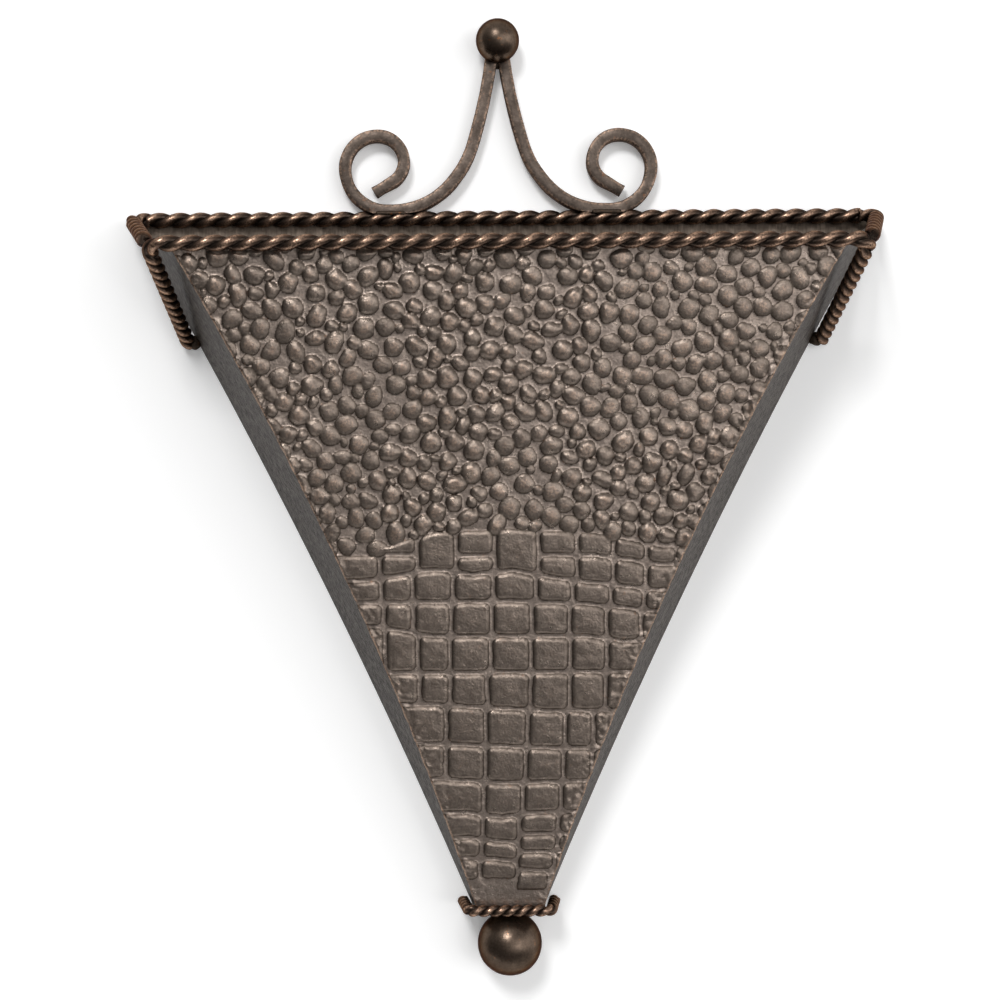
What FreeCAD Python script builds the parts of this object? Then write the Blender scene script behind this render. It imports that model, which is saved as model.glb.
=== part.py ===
import FreeCAD, Part
import os
from math import asin, atan2, ceil, cos, degrees, hypot, pi, radians, sin, sqrt, tan

# Wall planter: a tapered sheet-metal pocket that hangs flat on a wall, edged with twisted rods,
# with a crest of two scrolls and a ball above it and a ball below it.
# Millimetres. The wall is the plane Y = 0, the planter stands out of it towards -Y, and Z is up.
# The origin is on the wall, midway between the two wall screws.

# Sheet metal
SHEET = 1.2                 # thickness of every sheet
TRIM = 3.0                  # sheets are drawn this much too long, and then trimmed level
FRONT_OVERHANG = 0.6        # front sheet's raw edge stands this far past the side sheets

# Back sheet, flat on the wall
BACK_TOP_Z = 29.0           # top edge above the wall screws
BACK_TOP_HALF = 197.0       # half its width at the top edge
BACK_BOTTOM_HALF = 19.5     # half its width at the bottom edge
BACK_BOW = 5.8              # how far its long edges bow inwards

# Front sheet, leaning outwards
FRONT_TOP_Z = 5.0           # top edge above the wall screws
FRONT_TOP_HALF = 164.5      # half its width at the top edge
FRONT_BOTTOM_HALF = 16.8    # half its width at the bottom edge
FRONT_BOW = 10.0            # how far its long edges bow inwards
DEPTH_TOP = 88.0            # wall to the front sheet's outer face, at its top edge
DEPTH_BOTTOM = 28.0         # the same at the bottom edge
BODY_BOTTOM_Z = -331.0      # lower edge of all four sheets

# Pebbles and tiles stamped into the front sheet. Places are (sideways, up the sheet's slope).
STAMP_SINK = 0.3            # how far the stamped forms reach down into the sheet that they rise from
STAMP_RIM = 2.0             # flat rim along the sheet's long edges
STAMP_LEAST = 4.0           # tiles narrower or lower than this are left out
PEBBLE_RISE = 0.9           # height of the main pebbles
PEBBLE_R = 4.9              # their radius
PEBBLE_PITCH = 19.0         # their spacing along a row
PEBBLE_ROW = 16.5           # spacing of the rows
PEBBLE_ROWS = 8
PEBBLE_LOW = 208.0          # first row, up the sheet
PEBBLE_SHIFT = 2.4          # how far a pebble lies off its even place, at most
TILE_RISE = 0.8             # height of the tiles
TILE_GAP = 2.4              # width of the grooves between them
TILE_LEVELS = (             # level grooves from the top tiles down, each through these places
    ((-75, 189.0), (-37, 199.6), (2, 200.8), (42, 198.8), (75, 191.3)),
    ((-75, 188.0), (-18, 187.1), (42, 186.8), (75, 181.8)),
    ((-72, 174.4), (-37, 180.1), (-18, 177.3), (2, 179.3), (24, 175.2), (75, 168.6)),
    ((-72, 163.2), (2, 163.8), (40, 161.9), (73, 158.1)),
    ((-65, 151.0), (-38, 146.0), (39, 145.5), (57, 142.8)),
    ((0, 127.2),),
    ((-40, 110.7), (19, 107.1)),
    ((-38, 90.3), (18, 87.7)),
    ((-34, 71.7), (-3, 69.5), (34, 70.1)),
    ((-22, 53.9), (-4, 51.3), (15, 53.8)),
    ((-20, 40.4), (4, 37.6), (5, 42.4)),
    ((-19, 29.8), (4, 27.8), (5, 32.8)),
    ((-5, 17.4), (4, 17.4), (5, 23.0)),
    ((3, 17.4), (4, 11.6)),
)
UPRIGHT_GROOVES = (         # upright grooves of each row of tiles, sideways from the middle
    (-64.2, -45.5, -26.5, -7.2, 14.4, 33.5, 51.6, 67.7, 83.1),
    (-64.2, -45.5, -26.5, -7.2, 14.4, 33.5, 51.6, 67.7),
    (-63.5, -47.9, -27.9, -8.0, 13.2, 31.4, 50.4, 66.9),
    (-62.5, -47.9, -28.8, -8.8, 11.1, 30.0, 48.4, 65.5),
    (-62.1, -45.8, -29.7, -9.4, 10.7, 30.4, 48.7),
    (-44.9, -29.8, -11.1, 10.5, 30.1, 48.1),
    (-31.8, -12.0, 9.0, 27.9, 42.1),
    (-32.2, -12.3, 8.1, 27.0, 41.6),
    (-13.3, 6.6, 25.8),
    (-13.6, 4.8, 24.5),
    (-14.4, 4.3, 24.1),
    (-15.3, 3.6, 22.4),
    (0.5, 20.0),
)
TALL_TILES = (-36.0, 3.6)   # the tiles at these places reach down through two rows

# Twisted rope edging: two rods twisted left-handed
ROD = 4.0                   # diameter of each rod
ROD_GAP = 0.06              # running gap between the two rods of a rope
SEAT_GAP = 0.05             # gap between a rope and the sheet that it is welded to
ROPE_CLEAR = 0.4            # gap between a rope's cut end and its neighbour
REAR_LAY = 21.5             # length of one full turn, rear and side ropes
FRONT_LAY = 22.1            # the same, front rope
STAY_LAY = 14.0             # the same, wall stays
REAR_DROP = 1.0             # rear rope's centre below the back sheet's top edge
REAR_CORNER_INSET = 1.6     # rear corner of the rope inside the back sheet's corner
FRONT_CORNER_REACH = 9.0    # front corner of the rope outside the front sheet's corner
REAR_BEND = 8.0             # bend radius at the rear corners
FRONT_BEND = 7.0            # bend radius at the front corners
REAR_TURN = 0.0             # start of the twist at the left end, in turns
FRONT_TURN = 0.0

# Wall stays, from the rim's front corners back to the wall
STAY_FALL = 40.5            # foot's centre below the front rope
STAY_SIDE_GAP = 0.4         # gap between a stay's foot and the side sheet
STAY_JOINT_GAP = 0.8        # gap at the weld between a stay and the front rope

# Collar round the bottom end
COLLAR_ROD = 3.0            # diameter of each rod
COLLAR_LAY = 11.6           # length of one full turn
COLLAR_BEND = 4.6           # bend radius at its two corners
COLLAR_RISE = 1.7           # its centre above the sheets' lower edge
COLLAR_WALL_GAP = 4.0       # its ends stop this far from the wall
COLLAR_TURN = 0.1

# Crest
BAR = 6.35                  # square bar of the scrolls
CREST_SHIFT = -3.0          # crest's centre line, sideways from the pocket's
NOTCH_DEPTH = 3.2           # how deep a scroll's foot is let down over the rear rope
NOTCH_GAP = 0.05            # gap between the notch and the rope
LEG_LEAN = 8.0              # lean of a leg at the ball, in degrees
LEG_BENDS = ((294.0, 9.0), (54.0, 29.0), (40.0, 44.0))      # (radius, degrees), from the ball down
FOOT_FLAT = 2.7             # straight length of bar on the rope
CURL_BENDS = ((22.2, 90.0), (17.0, 90.0), (13.8, 90.0), (12.0, 60.0))
TIP_LENGTH = 11.0           # straight tip inside the curl
LEG_GAP = 0.1               # gap between the two legs where they meet
TOP_BALL_R = 11.4
TOP_BALL_SINK = 3.2         # how far the legs reach up past the ball's lowest point
BALL_WALL_GAP = 0.1         # gap between a ball and the wall

# Bottom ball and its stud
BOTTOM_BALL_R = 16.7
STUD_R = 3.0
STUD_IN_BALL = 10.0         # depth of the stud in the ball
STUD_ABOVE_PLATE = 4.0      # length of the stud inside the pocket
STUD_GAP = 0.05             # gap round the stud
STUD_HEAD_R = 5.0           # domed weld on the stud's upper end

# Wall screws, through the back sheet
SCREW_SPACING = 240.0
SCREW_HOLE_R = 2.75

# Welds
TACK_R = 2.6                # tack welds inside the corners
TACKS_PER_SEAM = 4
TACK_START = 0.6            # first tack above the seam's lower end, in tack spacings
TACK_END = 0.8              # last tack below its upper end, in tack spacings
BEAD_R = 1.3                # weld beads at the scrolls' feet
BEAD_LENGTH = 13.0
BEAD_SINK = 0.4             # how far a bead's centre line lies inside the bar's face
APEX_BEAD_R = 2.2           # weld between the two legs, under the top ball
STAY_BEAD_R = 2.4           # weld at a stay's foot

os.makedirs("parts", exist_ok=True)

V = FreeCAD.Vector
X_AXIS, Z_AXIS = V(1, 0, 0), V(0, 0, 1)
FAR = 1000.0                # larger than the whole planter, for cutting blocks
SHORTEST_RUN = 0.01         # a straight run shorter than this is left out of a rope's route
NUDGE = 0.001               # step along a rope over which its rod's direction is measured
STRAIGHT_LEAN = 1e-7        # an arc that turns by less than this angle is drawn as a line


def write(node, shape):
    """Writes one sub-part."""
    shape.exportStep("parts/" + node + ".step")


def group(shapes):
    """Separate solids that share one node."""
    return Part.makeCompound([solid for shape in shapes for solid in shape.Solids])


def largest(shape):
    """The largest solid of a shape that a cut may have left in pieces."""
    return max(shape.Solids, key=lambda solid: solid.Volume)


def mirrored(shape):
    """The same shape on the other side of the plane X = 0."""
    return shape.mirror(V(0, 0, 0), X_AXIS)


def box(low, high):
    """Block between two opposite corners."""
    return Part.makeBox(high.x - low.x, high.y - low.y, high.z - low.z, low)


def unit(start, end):
    """Direction from one point to another."""
    return (end - start).normalize()


def keep_above(shape, z):
    """The part of a shape above a level."""
    return shape.common(box(V(-FAR, -FAR, z), V(FAR, FAR, z + 2 * FAR)))


def keep_below_plane(shape, point, up):
    """The part of a shape below a sloping plane."""
    block = box(V(-FAR, -FAR, -2 * FAR), V(FAR, FAR, 0))
    turn = FreeCAD.Rotation(Z_AXIS, up)
    block.Placement = FreeCAD.Placement(point, turn)
    return shape.common(block)


# ---------------------------------------------------------------- planes of the pocket

front_tilt = atan2(DEPTH_TOP - DEPTH_BOTTOM, FRONT_TOP_Z - BODY_BOTTOM_Z)
front_up = V(0, -sin(front_tilt), cos(front_tilt))      # up along the front sheet
front_out = V(0, -cos(front_tilt), -sin(front_tilt))    # out of its outer face
front_slope = hypot(DEPTH_TOP - DEPTH_BOTTOM, FRONT_TOP_Z - BODY_BOTTOM_Z)
front_foot = V(0, -DEPTH_BOTTOM, BODY_BOTTOM_Z)

rope_r = ROD + ROD_GAP / 2                              # outer radius of a rim rope
rear_rope_y = -(SHEET + SEAT_GAP + rope_r)
rear_rope_z = BACK_TOP_Z - REAR_DROP
rear_rope_centre = V(0, rear_rope_y, rear_rope_z)
front_top = V(0, -DEPTH_TOP, FRONT_TOP_Z)
front_rope_centre = front_top + front_out * (rope_r + SEAT_GAP)
rear_corner_x = BACK_TOP_HALF - REAR_CORNER_INSET
front_corner_x = FRONT_TOP_HALF + FRONT_CORNER_REACH

rim_up = X_AXIS.cross(rear_rope_centre - front_rope_centre).normalize()     # square to the rim's plane
side_top = rear_rope_centre - rim_up * (rope_r + ROPE_CLEAR)


def front_point(x, up, inwards=0.0):
    """Point on the front sheet: sideways, up its slope, and in from its outer face."""
    return front_foot + X_AXIS * x + front_up * up - front_out * inwards


def back_point(x, up, inwards=0.0):
    """Point on the back sheet: sideways, up from its lower edge, and in from the wall."""
    return V(x, -inwards, BODY_BOTTOM_Z + up)


# ---------------------------------------------------------------- sheets

def edge_circle(half_bottom, half_top, height, bow):
    """Centre and radius of the circle that a bowed long edge lies on, in its sheet's plane."""
    chord = hypot(half_top - half_bottom, height)
    radius = (chord * chord / 4 + bow * bow) / (2 * bow)
    out_x = height / chord
    out_up = -(half_top - half_bottom) / chord
    centre_x = (half_bottom + half_top) / 2 + out_x * (radius - bow)
    centre_up = height / 2 + out_up * (radius - bow)
    return centre_x, centre_up, radius


def edge_x(circle, up, inset=0.0):
    """Half width of a sheet at a height, or of a line set in from its edge."""
    centre_x, centre_up, radius = circle
    reach = radius + inset
    return centre_x - sqrt(reach * reach - (up - centre_up) ** 2)


front_circle = edge_circle(FRONT_BOTTOM_HALF, FRONT_TOP_HALF, front_slope, FRONT_BOW)
front_inset = FRONT_OVERHANG + SHEET                    # side sheets' inner faces, in from the front's edge
back_height = BACK_TOP_Z - BODY_BOTTOM_Z
back_circle = edge_circle(BACK_BOTTOM_HALF, BACK_TOP_HALF, back_height, BACK_BOW)


def bowed_edge(place, circle, low, high, inset, inwards, side=1):
    """Arc along a long edge, placed by front_point or back_point."""
    ends = [place(side * edge_x(circle, up, inset), up, inwards) for up in (low, (low + high) / 2, high)]
    return Part.Arc(*ends).toShape()


def sheet_face(place, circle, low, high, inwards):
    """Face of a sheet between its two bowed edges."""
    edges = [bowed_edge(place, circle, low, high, 0, inwards, side) for side in (-1, 1)]
    for up in (low, high):
        half = edge_x(circle, up)
        edges.append(Part.makeLine(place(-half, up, inwards), place(half, up, inwards)))
    return Part.Face(Part.Wire(Part.__sortEdges__(edges)))


def strip_wire(place, circle, low, high, inset, wide, inwards):
    """Closed outline of a thin strip along a bowed edge, starting at its outer lower corner."""
    outer = bowed_edge(place, circle, low, high, inset, inwards)
    inner = bowed_edge(place, circle, low, high, inset + wide, inwards)
    corners = []
    for up in (low, high):
        corners.append([place(edge_x(circle, up, gap), up, inwards) for gap in (inset, inset + wide)])
    across_top = Part.makeLine(corners[1][0], corners[1][1])
    across_bottom = Part.makeLine(corners[0][1], corners[0][0])
    return Part.Wire([outer, across_top, inner, across_bottom])


def pebbles():
    """Main pebbles, in staggered rows and each a little off its even place."""
    radius = (PEBBLE_R * PEBBLE_R + PEBBLE_RISE * PEBBLE_RISE) / (2 * PEBBLE_RISE)
    lowest = degrees(asin((radius - PEBBLE_RISE - STAMP_SINK) / radius))
    caps = []
    half_row = ceil(FRONT_TOP_HALF / PEBBLE_PITCH)
    for row in range(PEBBLE_ROWS):
        for column in range(-half_row, half_row + 1):
            number = row * 2 * half_row + column
            x = (column + row % 2 / 2) * PEBBLE_PITCH + PEBBLE_SHIFT * sin(2.4 * number)
            up = PEBBLE_LOW + row * PEBBLE_ROW + PEBBLE_SHIFT * cos(3.7 * number)
            if abs(x) + PEBBLE_R < edge_x(front_circle, up) - STAMP_RIM:
                centre = front_point(x, up, radius - PEBBLE_RISE)
                caps.append(Part.makeSphere(radius, centre, front_out, lowest, 90, 360))
    return caps


def level_up(level, x):
    """Height up the front sheet of a level groove, at a place across the sheet."""
    before = level[0]
    for after in level[1:]:
        if x < after[0]:
            share = max(0, (x - before[0]) / (after[0] - before[0]))
            return before[1] + share * (after[1] - before[1])
        before = after
    return before[1]


def tile(above, below, left, right):
    """Raised tile between two level and two upright grooves, kept off the rim, or None where it is small."""
    corners = []
    for level, side in ((above, -1), (below, 1)):
        for x in (left, right):
            up = level_up(level, max(left, min(right, x))) + side * TILE_GAP / 2
            limit = edge_x(front_circle, up) - STAMP_RIM
            corners.append((max(-limit, min(limit, x)), up))
    high_left, high_right, low_left, low_right = corners
    if min(high_right[0] - high_left[0], low_right[0] - low_left[0], high_left[1] - low_left[1],
           high_right[1] - low_right[1]) < STAMP_LEAST:
        return None
    outline = [front_point(x, up, STAMP_SINK) for x, up in (high_left, high_right, low_right, low_left)]
    face = Part.Face(Part.makePolygon([*outline, outline[0]]))
    return face.extrude(front_out * (TILE_RISE + STAMP_SINK))


def tiles():
    """Raised tiles, row by row from the top. Only the rows between the first and last reach the rim."""
    found = []
    last = len(UPRIGHT_GROOVES) - 1
    for row, grooves in enumerate(UPRIGHT_GROOVES):
        ends = (-FRONT_TOP_HALF, *grooves, FRONT_TOP_HALF) if 0 < row < last else grooves
        for left, right in zip(ends, ends[1:]):
            tall = any(left < place < right for place in TALL_TILES)
            if row == 1 and tall:
                continue
            below = TILE_LEVELS[row + 2 if row == 0 and tall else row + 1]
            found.append(tile(TILE_LEVELS[row], below, left + TILE_GAP / 2, right - TILE_GAP / 2))
    return [one for one in found if one]


def front_panel():
    """Leaning front sheet with its stamped forms, trimmed level at the bottom."""
    face = sheet_face(front_point, front_circle, -TRIM, front_slope, 0)
    sheet = keep_above(face.extrude(front_out * -SHEET), BODY_BOTTOM_Z)
    return sheet.fuse(pebbles() + tiles())


def back_panel():
    """Flat back sheet with its two screw holes."""
    sheet = sheet_face(back_point, back_circle, 0, back_height, 0).extrude(V(0, -SHEET, 0))
    for side in (-1, 1):
        start = V(side * SCREW_SPACING / 2, 1, 0)
        sheet = sheet.cut(Part.makeCylinder(SCREW_HOLE_R, SHEET + 2, start, V(0, -1, 0)))
    return sheet


def right_side_panel():
    """Side sheet, butted between the front and back sheets, its top just below the rim's rope."""
    front = strip_wire(front_point, front_circle, -TRIM, front_slope, FRONT_OVERHANG, SHEET, SHEET)
    back = strip_wire(back_point, back_circle, -TRIM, back_height, 0, SHEET, SHEET)
    sheet = Part.makeLoft([front, back], True, True)
    return keep_below_plane(keep_above(sheet, BODY_BOTTOM_Z), side_top, rim_up)


def hollow():
    """Inside of the pocket, a closed block that the welds are trimmed to."""
    outlines = []
    for place, circle, high, inset in ((front_point, front_circle, front_slope, front_inset),
                                       (back_point, back_circle, back_height, SHEET)):
        right = bowed_edge(place, circle, 0, high, inset, SHEET)
        left = bowed_edge(place, circle, 0, high, inset, SHEET, -1)
        low_x, high_x = edge_x(circle, 0, inset), edge_x(circle, high, inset)
        across_top = Part.makeLine(place(high_x, high, SHEET), place(-high_x, high, SHEET))
        across_bottom = Part.makeLine(place(-low_x, 0, SHEET), place(low_x, 0, SHEET))
        outlines.append(Part.Wire([right, across_top, left, across_bottom]))
    return Part.makeLoft(outlines, True, True)


def bottom_plate():
    """Plate under the four sheets, with a hole for the ball's stud."""
    corners = [V(-BACK_BOTTOM_HALF, 0, BODY_BOTTOM_Z), V(BACK_BOTTOM_HALF, 0, BODY_BOTTOM_Z),
               V(FRONT_BOTTOM_HALF, -DEPTH_BOTTOM, BODY_BOTTOM_Z),
               V(-FRONT_BOTTOM_HALF, -DEPTH_BOTTOM, BODY_BOTTOM_Z)]
    plate = Part.Face(Part.makePolygon(corners + corners[:1])).extrude(V(0, 0, -SHEET))
    hole = Part.makeCylinder(STUD_R + STUD_GAP, 3 * SHEET, V(0, ball_y, BODY_BOTTOM_Z - 2 * SHEET))
    return plate.cut(hole)


# ---------------------------------------------------------------- twisted ropes

def straight(start, end):
    """Straight piece of a route: its length, and its point and direction at a distance."""
    along = unit(start, end)
    return (end - start).Length, lambda distance: (start + along * distance, along)


def bend(start, along, inside, radius, angle):
    """Bent piece of a route, which turns from along towards inside."""
    centre = start + inside * radius

    def at(distance):
        turn = distance / radius
        point = centre - inside * (radius * cos(turn)) + along * (radius * sin(turn))
        return point, along * cos(turn) + inside * sin(turn)

    return radius * angle, at


def corner_cut(before, corner, after, radius):
    """How far a bend of this radius starts before a corner."""
    turn = (corner - before).getAngle(after - corner)
    return radius * tan(turn / 2)


def route(points, radius):
    """Straight runs joined by tangent bends at the inner points."""
    pieces = []
    start = points[0]
    for before, corner, after in zip(points, points[1:], points[2:]):
        along = unit(before, corner)
        onwards = unit(corner, after)
        turn = along.getAngle(onwards)
        cut = radius * tan(turn / 2)
        bend_start = corner - along * cut
        if (bend_start - start).Length > SHORTEST_RUN:
            pieces.append(straight(start, bend_start))
        inside = (onwards - along * along.dot(onwards)).normalize()
        pieces.append(bend(bend_start, along, inside, radius, turn))
        start = corner + onwards * cut
    if (points[-1] - start).Length > SHORTEST_RUN:
        pieces.append(straight(start, points[-1]))
    return pieces


def route_length(pieces):
    """Whole length of a route."""
    return sum(length for length, at in pieces)


def along_route(pieces, distance):
    """Point and direction at a distance along a route."""
    for length, at in pieces[:-1]:
        if distance <= length:
            return at(distance)
        distance -= length
    return pieces[-1][1](distance)


def tangent_arc(start, along, end):
    """Arc that leaves a point in a direction and reaches another point."""
    chord = end - start
    lean = along.getAngle(chord)
    if lean < STRAIGHT_LEAN:
        return Part.makeLine(start, end)
    onwards = unit(start, end)
    outwards = (along - onwards * along.dot(onwards)).normalize()
    middle = start + chord * 0.5 + outwards * (chord.Length / 2 * tan(lean / 2))
    return Part.Arc(start, middle, end).toShape()


def biarc(start, start_along, end, end_along):
    """Two arcs that join two points, tangent to a direction at each."""
    span = end - start
    both = start_along + end_along
    a = 2 * (1 - start_along.dot(end_along))
    b = span.dot(both)
    reach = span.dot(span) / (b + sqrt(b * b + a * span.dot(span)))
    joint = (start + start_along * reach + end - end_along * reach) * 0.5
    return [tangent_arc(start, start_along, joint), tangent_arc(end, end_along * -1, joint)]


def twisted_rope(pieces, square, rod, lay, turns, steps):
    """Two rods twisted left-handed along a flat route; square is the normal of its plane."""
    length = route_length(pieces)
    count = ceil(length / lay * steps)
    orbit = (rod + ROD_GAP) / 2
    rods = []
    for half_turn in (0.0, 0.5):

        def point(distance):
            centre, along = along_route(pieces, distance)
            angle = 2 * pi * (turns + half_turn - distance / lay)
            return centre + square.cross(along) * (orbit * cos(angle)) + square * (orbit * sin(angle))

        spots = []
        for step in range(count + 1):
            here = length * step / count
            low, high = max(0.0, here - NUDGE), min(length, here + NUDGE)
            spots.append((point(here), unit(point(low), point(high))))
        edges = []
        for (start, start_along), (end, end_along) in zip(spots, spots[1:]):
            edges.extend(biarc(start, start_along, end, end_along))
        section = Part.Wire([Part.Circle(spots[0][0], spots[0][1], rod / 2).toShape()])
        path = Part.Wire(Part.__sortEdges__(edges))
        rods.append(path.makePipeShell([section], True, False))
    return group(rods)


rear_corners = {side: rear_rope_centre + X_AXIS * (side * rear_corner_x) for side in (-1, 1)}
front_corners = {side: front_rope_centre + X_AXIS * (side * front_corner_x) for side in (-1, 1)}
rear_cut = corner_cut(rear_corners[-1], rear_corners[1], front_corners[1], REAR_BEND)
rear_rope_half = rear_corner_x - rear_cut

# A stay's foot stands beside the back sheet's edge, just off the wall
foot_z = front_rope_centre.z - STAY_FALL
foot_up = foot_z - BODY_BOTTOM_Z
circle_up, circle_r = back_circle[1:]
foot_lean = asin((foot_up - circle_up) / circle_r)
foot_x = edge_x(back_circle, foot_up) + (rope_r + STAY_SIDE_GAP) / cos(foot_lean)
stay_feet = {side: V(side * foot_x, -(rope_r + SEAT_GAP), foot_z) for side in (-1, 1)}
front_cut = corner_cut(front_corners[-1], front_corners[1], stay_feet[1], FRONT_BEND)


def back_rim_rope():
    """Straight rope along the back sheet's top edge."""
    ends = [rear_rope_centre + X_AXIS * (side * (rear_rope_half - ROPE_CLEAR)) for side in (-1, 1)]
    turns = REAR_TURN - ROPE_CLEAR / REAR_LAY
    return twisted_rope([straight(*ends)], rim_up, ROD, REAR_LAY, turns, 4)


def side_rim_rope(side):
    """Rope that carries on round a rear corner and comes forward to just short of the front corner."""
    rear, front = rear_corners[side], front_corners[side]
    spread = unit(front, rear).getAngle(unit(front, stay_feet[side]))
    short = (rope_r * (1 + cos(spread)) + ROPE_CLEAR) / sin(spread)
    start = rear_rope_centre + X_AXIS * (side * rear_rope_half)
    pieces = route([start, rear, front + unit(front, rear) * short], REAR_BEND)
    turns = 0.5 - REAR_TURN if side < 0 else REAR_TURN - 2 * rear_rope_half / REAR_LAY
    return twisted_rope(pieces, rim_up, ROD, REAR_LAY, turns, 6)


def front_route():
    """Route of the front rope, its two ends bent back towards the stays' feet."""
    left, right = front_corners[-1], front_corners[1]
    start = left + unit(left, stay_feet[-1]) * front_cut
    end = right + unit(right, stay_feet[1]) * front_cut
    return route([start, left, right, end], FRONT_BEND)


def stay_square():
    """Normal of the plane of the front rope and the stays."""
    return unit(front_corners[1], stay_feet[1]).cross(X_AXIS).normalize()


def front_rim_rope():
    """Front rope with its bent ends."""
    return twisted_rope(front_route(), stay_square(), ROD, FRONT_LAY, FRONT_TURN, 6)


def stay_rope(side):
    """Tightly twisted stay that carries on from the front rope, back and down to the wall."""
    along = unit(front_corners[side], stay_feet[side])
    start = front_corners[side] + along * (front_cut + STAY_JOINT_GAP)
    turns = 0.5 - FRONT_TURN if side < 0 else FRONT_TURN - route_length(front_route()) / FRONT_LAY
    return twisted_rope([straight(start, stay_feet[side])], stay_square(), ROD, STAY_LAY, turns, 4)


collar_r = COLLAR_ROD + ROD_GAP / 2
collar_z = BODY_BOTTOM_Z + COLLAR_RISE
collar_front_y = -(DEPTH_BOTTOM + COLLAR_RISE * tan(front_tilt)) - (collar_r + SEAT_GAP) / cos(front_tilt)


def collar_rope():
    """Rope bent round the bottom end of the pocket, open at the wall."""
    out = collar_r + SEAT_GAP
    level = COLLAR_RISE + collar_r
    front_x = edge_x(front_circle, level / cos(front_tilt)) + out
    back_x = edge_x(back_circle, level) + out
    depth = -collar_front_y
    slant = (back_x - front_x) / depth
    points = [V(-(front_x + slant * (depth - COLLAR_WALL_GAP)), -COLLAR_WALL_GAP, collar_z),
              V(-front_x, collar_front_y, collar_z), V(front_x, collar_front_y, collar_z),
              V(front_x + slant * (depth - COLLAR_WALL_GAP), -COLLAR_WALL_GAP, collar_z)]
    return twisted_rope(route(points, COLLAR_BEND), Z_AXIS, COLLAR_ROD, COLLAR_LAY, COLLAR_TURN, 6)


# ---------------------------------------------------------------- crest

def turn_point(point, heading, radius, angle):
    """End and heading after a left-hand bend in the scroll's plane."""
    later = heading + angle
    end = (point[0] + radius * (sin(later) - sin(heading)), point[1] + radius * (cos(heading) - cos(later)))
    return end, later


def leg_span():
    """Sideways and downward span of a leg, from the ball to the foot."""
    point, heading = (0.0, 0.0), radians(LEG_LEAN - 90)
    for radius, degrees in LEG_BENDS:
        point, heading = turn_point(point, heading, radius, radians(degrees))
    return point[0], -point[1]


leg_out, leg_drop = leg_span()
foot_centre_z = rear_rope_z + rope_r - NOTCH_DEPTH + BAR / 2
leg_top_u = (BAR + LEG_GAP) / 2 / cos(radians(LEG_LEAN))
leg_top_z = foot_centre_z + leg_drop
foot_u = leg_top_u + leg_out
top_ball_centre = V(CREST_SHIFT, -(TOP_BALL_R + BALL_WALL_GAP), leg_top_z - TOP_BALL_SINK + TOP_BALL_R)


def scroll(side):
    """Square bar bent from the ball down to its foot on the rear rope and up into a curl."""
    bends = [(radius, radians(degrees)) for radius, degrees in LEG_BENDS]
    bends.append((FOOT_FLAT, 0))
    bends.extend((radius, radians(degrees)) for radius, degrees in CURL_BENDS)
    bends.append((TIP_LENGTH, 0))

    def place(point, heading, offset):
        """Point beside the bar's centre line, offset to its right."""
        u = point[0] + offset * sin(heading)
        z = point[1] - offset * cos(heading)
        return V(CREST_SHIFT + side * u, rear_rope_y + BAR / 2, z)

    point, heading = (leg_top_u, leg_top_z), radians(LEG_LEAN - 90)
    start = (point, heading)
    outer, inner = [], []
    for radius, angle in bends:
        if angle:
            middle, mid_heading = turn_point(point, heading, radius, angle / 2)
            end, later = turn_point(point, heading, radius, angle)
            stations = ((point, heading), (middle, mid_heading), (end, later))
            for edges, offset in ((outer, BAR / 2), (inner, -BAR / 2)):
                edges.append(Part.Arc(*[place(*station, offset) for station in stations]).toShape())
        else:
            end = (point[0] + radius * cos(heading), point[1] + radius * sin(heading))
            later = heading
            for edges, offset in ((outer, BAR / 2), (inner, -BAR / 2)):
                edges.append(Part.makeLine(place(point, heading, offset), place(end, heading, offset)))
        point, heading = end, later
    for station in (start, (point, heading)):
        outer.append(Part.makeLine(place(*station, -BAR / 2), place(*station, BAR / 2)))
    face = Part.Face(Part.Wire(Part.__sortEdges__(outer + inner)))
    bar = face.extrude(V(0, -BAR, 0))
    notch = Part.makeCylinder(rope_r + NOTCH_GAP, 2 * FAR, V(-FAR, rear_rope_y, rear_rope_z), X_AXIS)
    bar = bar.cut(notch).cut(Part.makeSphere(TOP_BALL_R + NOTCH_GAP, top_ball_centre))
    near = CREST_SHIFT + side * LEG_GAP / 2
    own_side = box(V(min(near, side * FAR), -FAR, -FAR), V(max(near, side * FAR), FAR, FAR))
    return largest(bar.common(own_side))


def scroll_welds(scrolls):
    """Weld beads before and behind each foot on the rear rope, and one where the legs meet."""
    rise = sqrt((rope_r + NOTCH_GAP) ** 2 - (BAR / 2) ** 2)
    rope = Part.makeCylinder(rope_r + NOTCH_GAP, 2 * FAR, V(-FAR, rear_rope_y, rear_rope_z), X_AXIS)
    beads = []
    for side, bar in scrolls.items():
        middle_x = CREST_SHIFT + side * (foot_u + FOOT_FLAT / 2)
        for face in (-1, 1):
            bead_y = rear_rope_y + face * (BAR / 2 - BEAD_SINK)
            start = V(middle_x - BEAD_LENGTH / 2, bead_y, rear_rope_z + rise)
            bead = Part.makeCylinder(BEAD_R, BEAD_LENGTH, start, X_AXIS)
            for end_x in (0, BEAD_LENGTH):
                bead = bead.fuse(Part.makeSphere(BEAD_R, start + X_AXIS * end_x))
            beads.append(largest(bead.cut(rope).cut(bar)))
    apex = Part.makeSphere(APEX_BEAD_R, V(CREST_SHIFT, rear_rope_y, top_ball_centre.z - TOP_BALL_R))
    for neighbour in (Part.makeSphere(TOP_BALL_R + NOTCH_GAP, top_ball_centre), *scrolls.values()):
        apex = apex.cut(neighbour)
    beads.append(largest(apex))
    return group(beads)


# ---------------------------------------------------------------- balls, stud and tacks

ball_y = -(BOTTOM_BALL_R + BALL_WALL_GAP)
bottom_ball_centre = V(0, ball_y, BODY_BOTTOM_Z - SHEET - BOTTOM_BALL_R)


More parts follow.
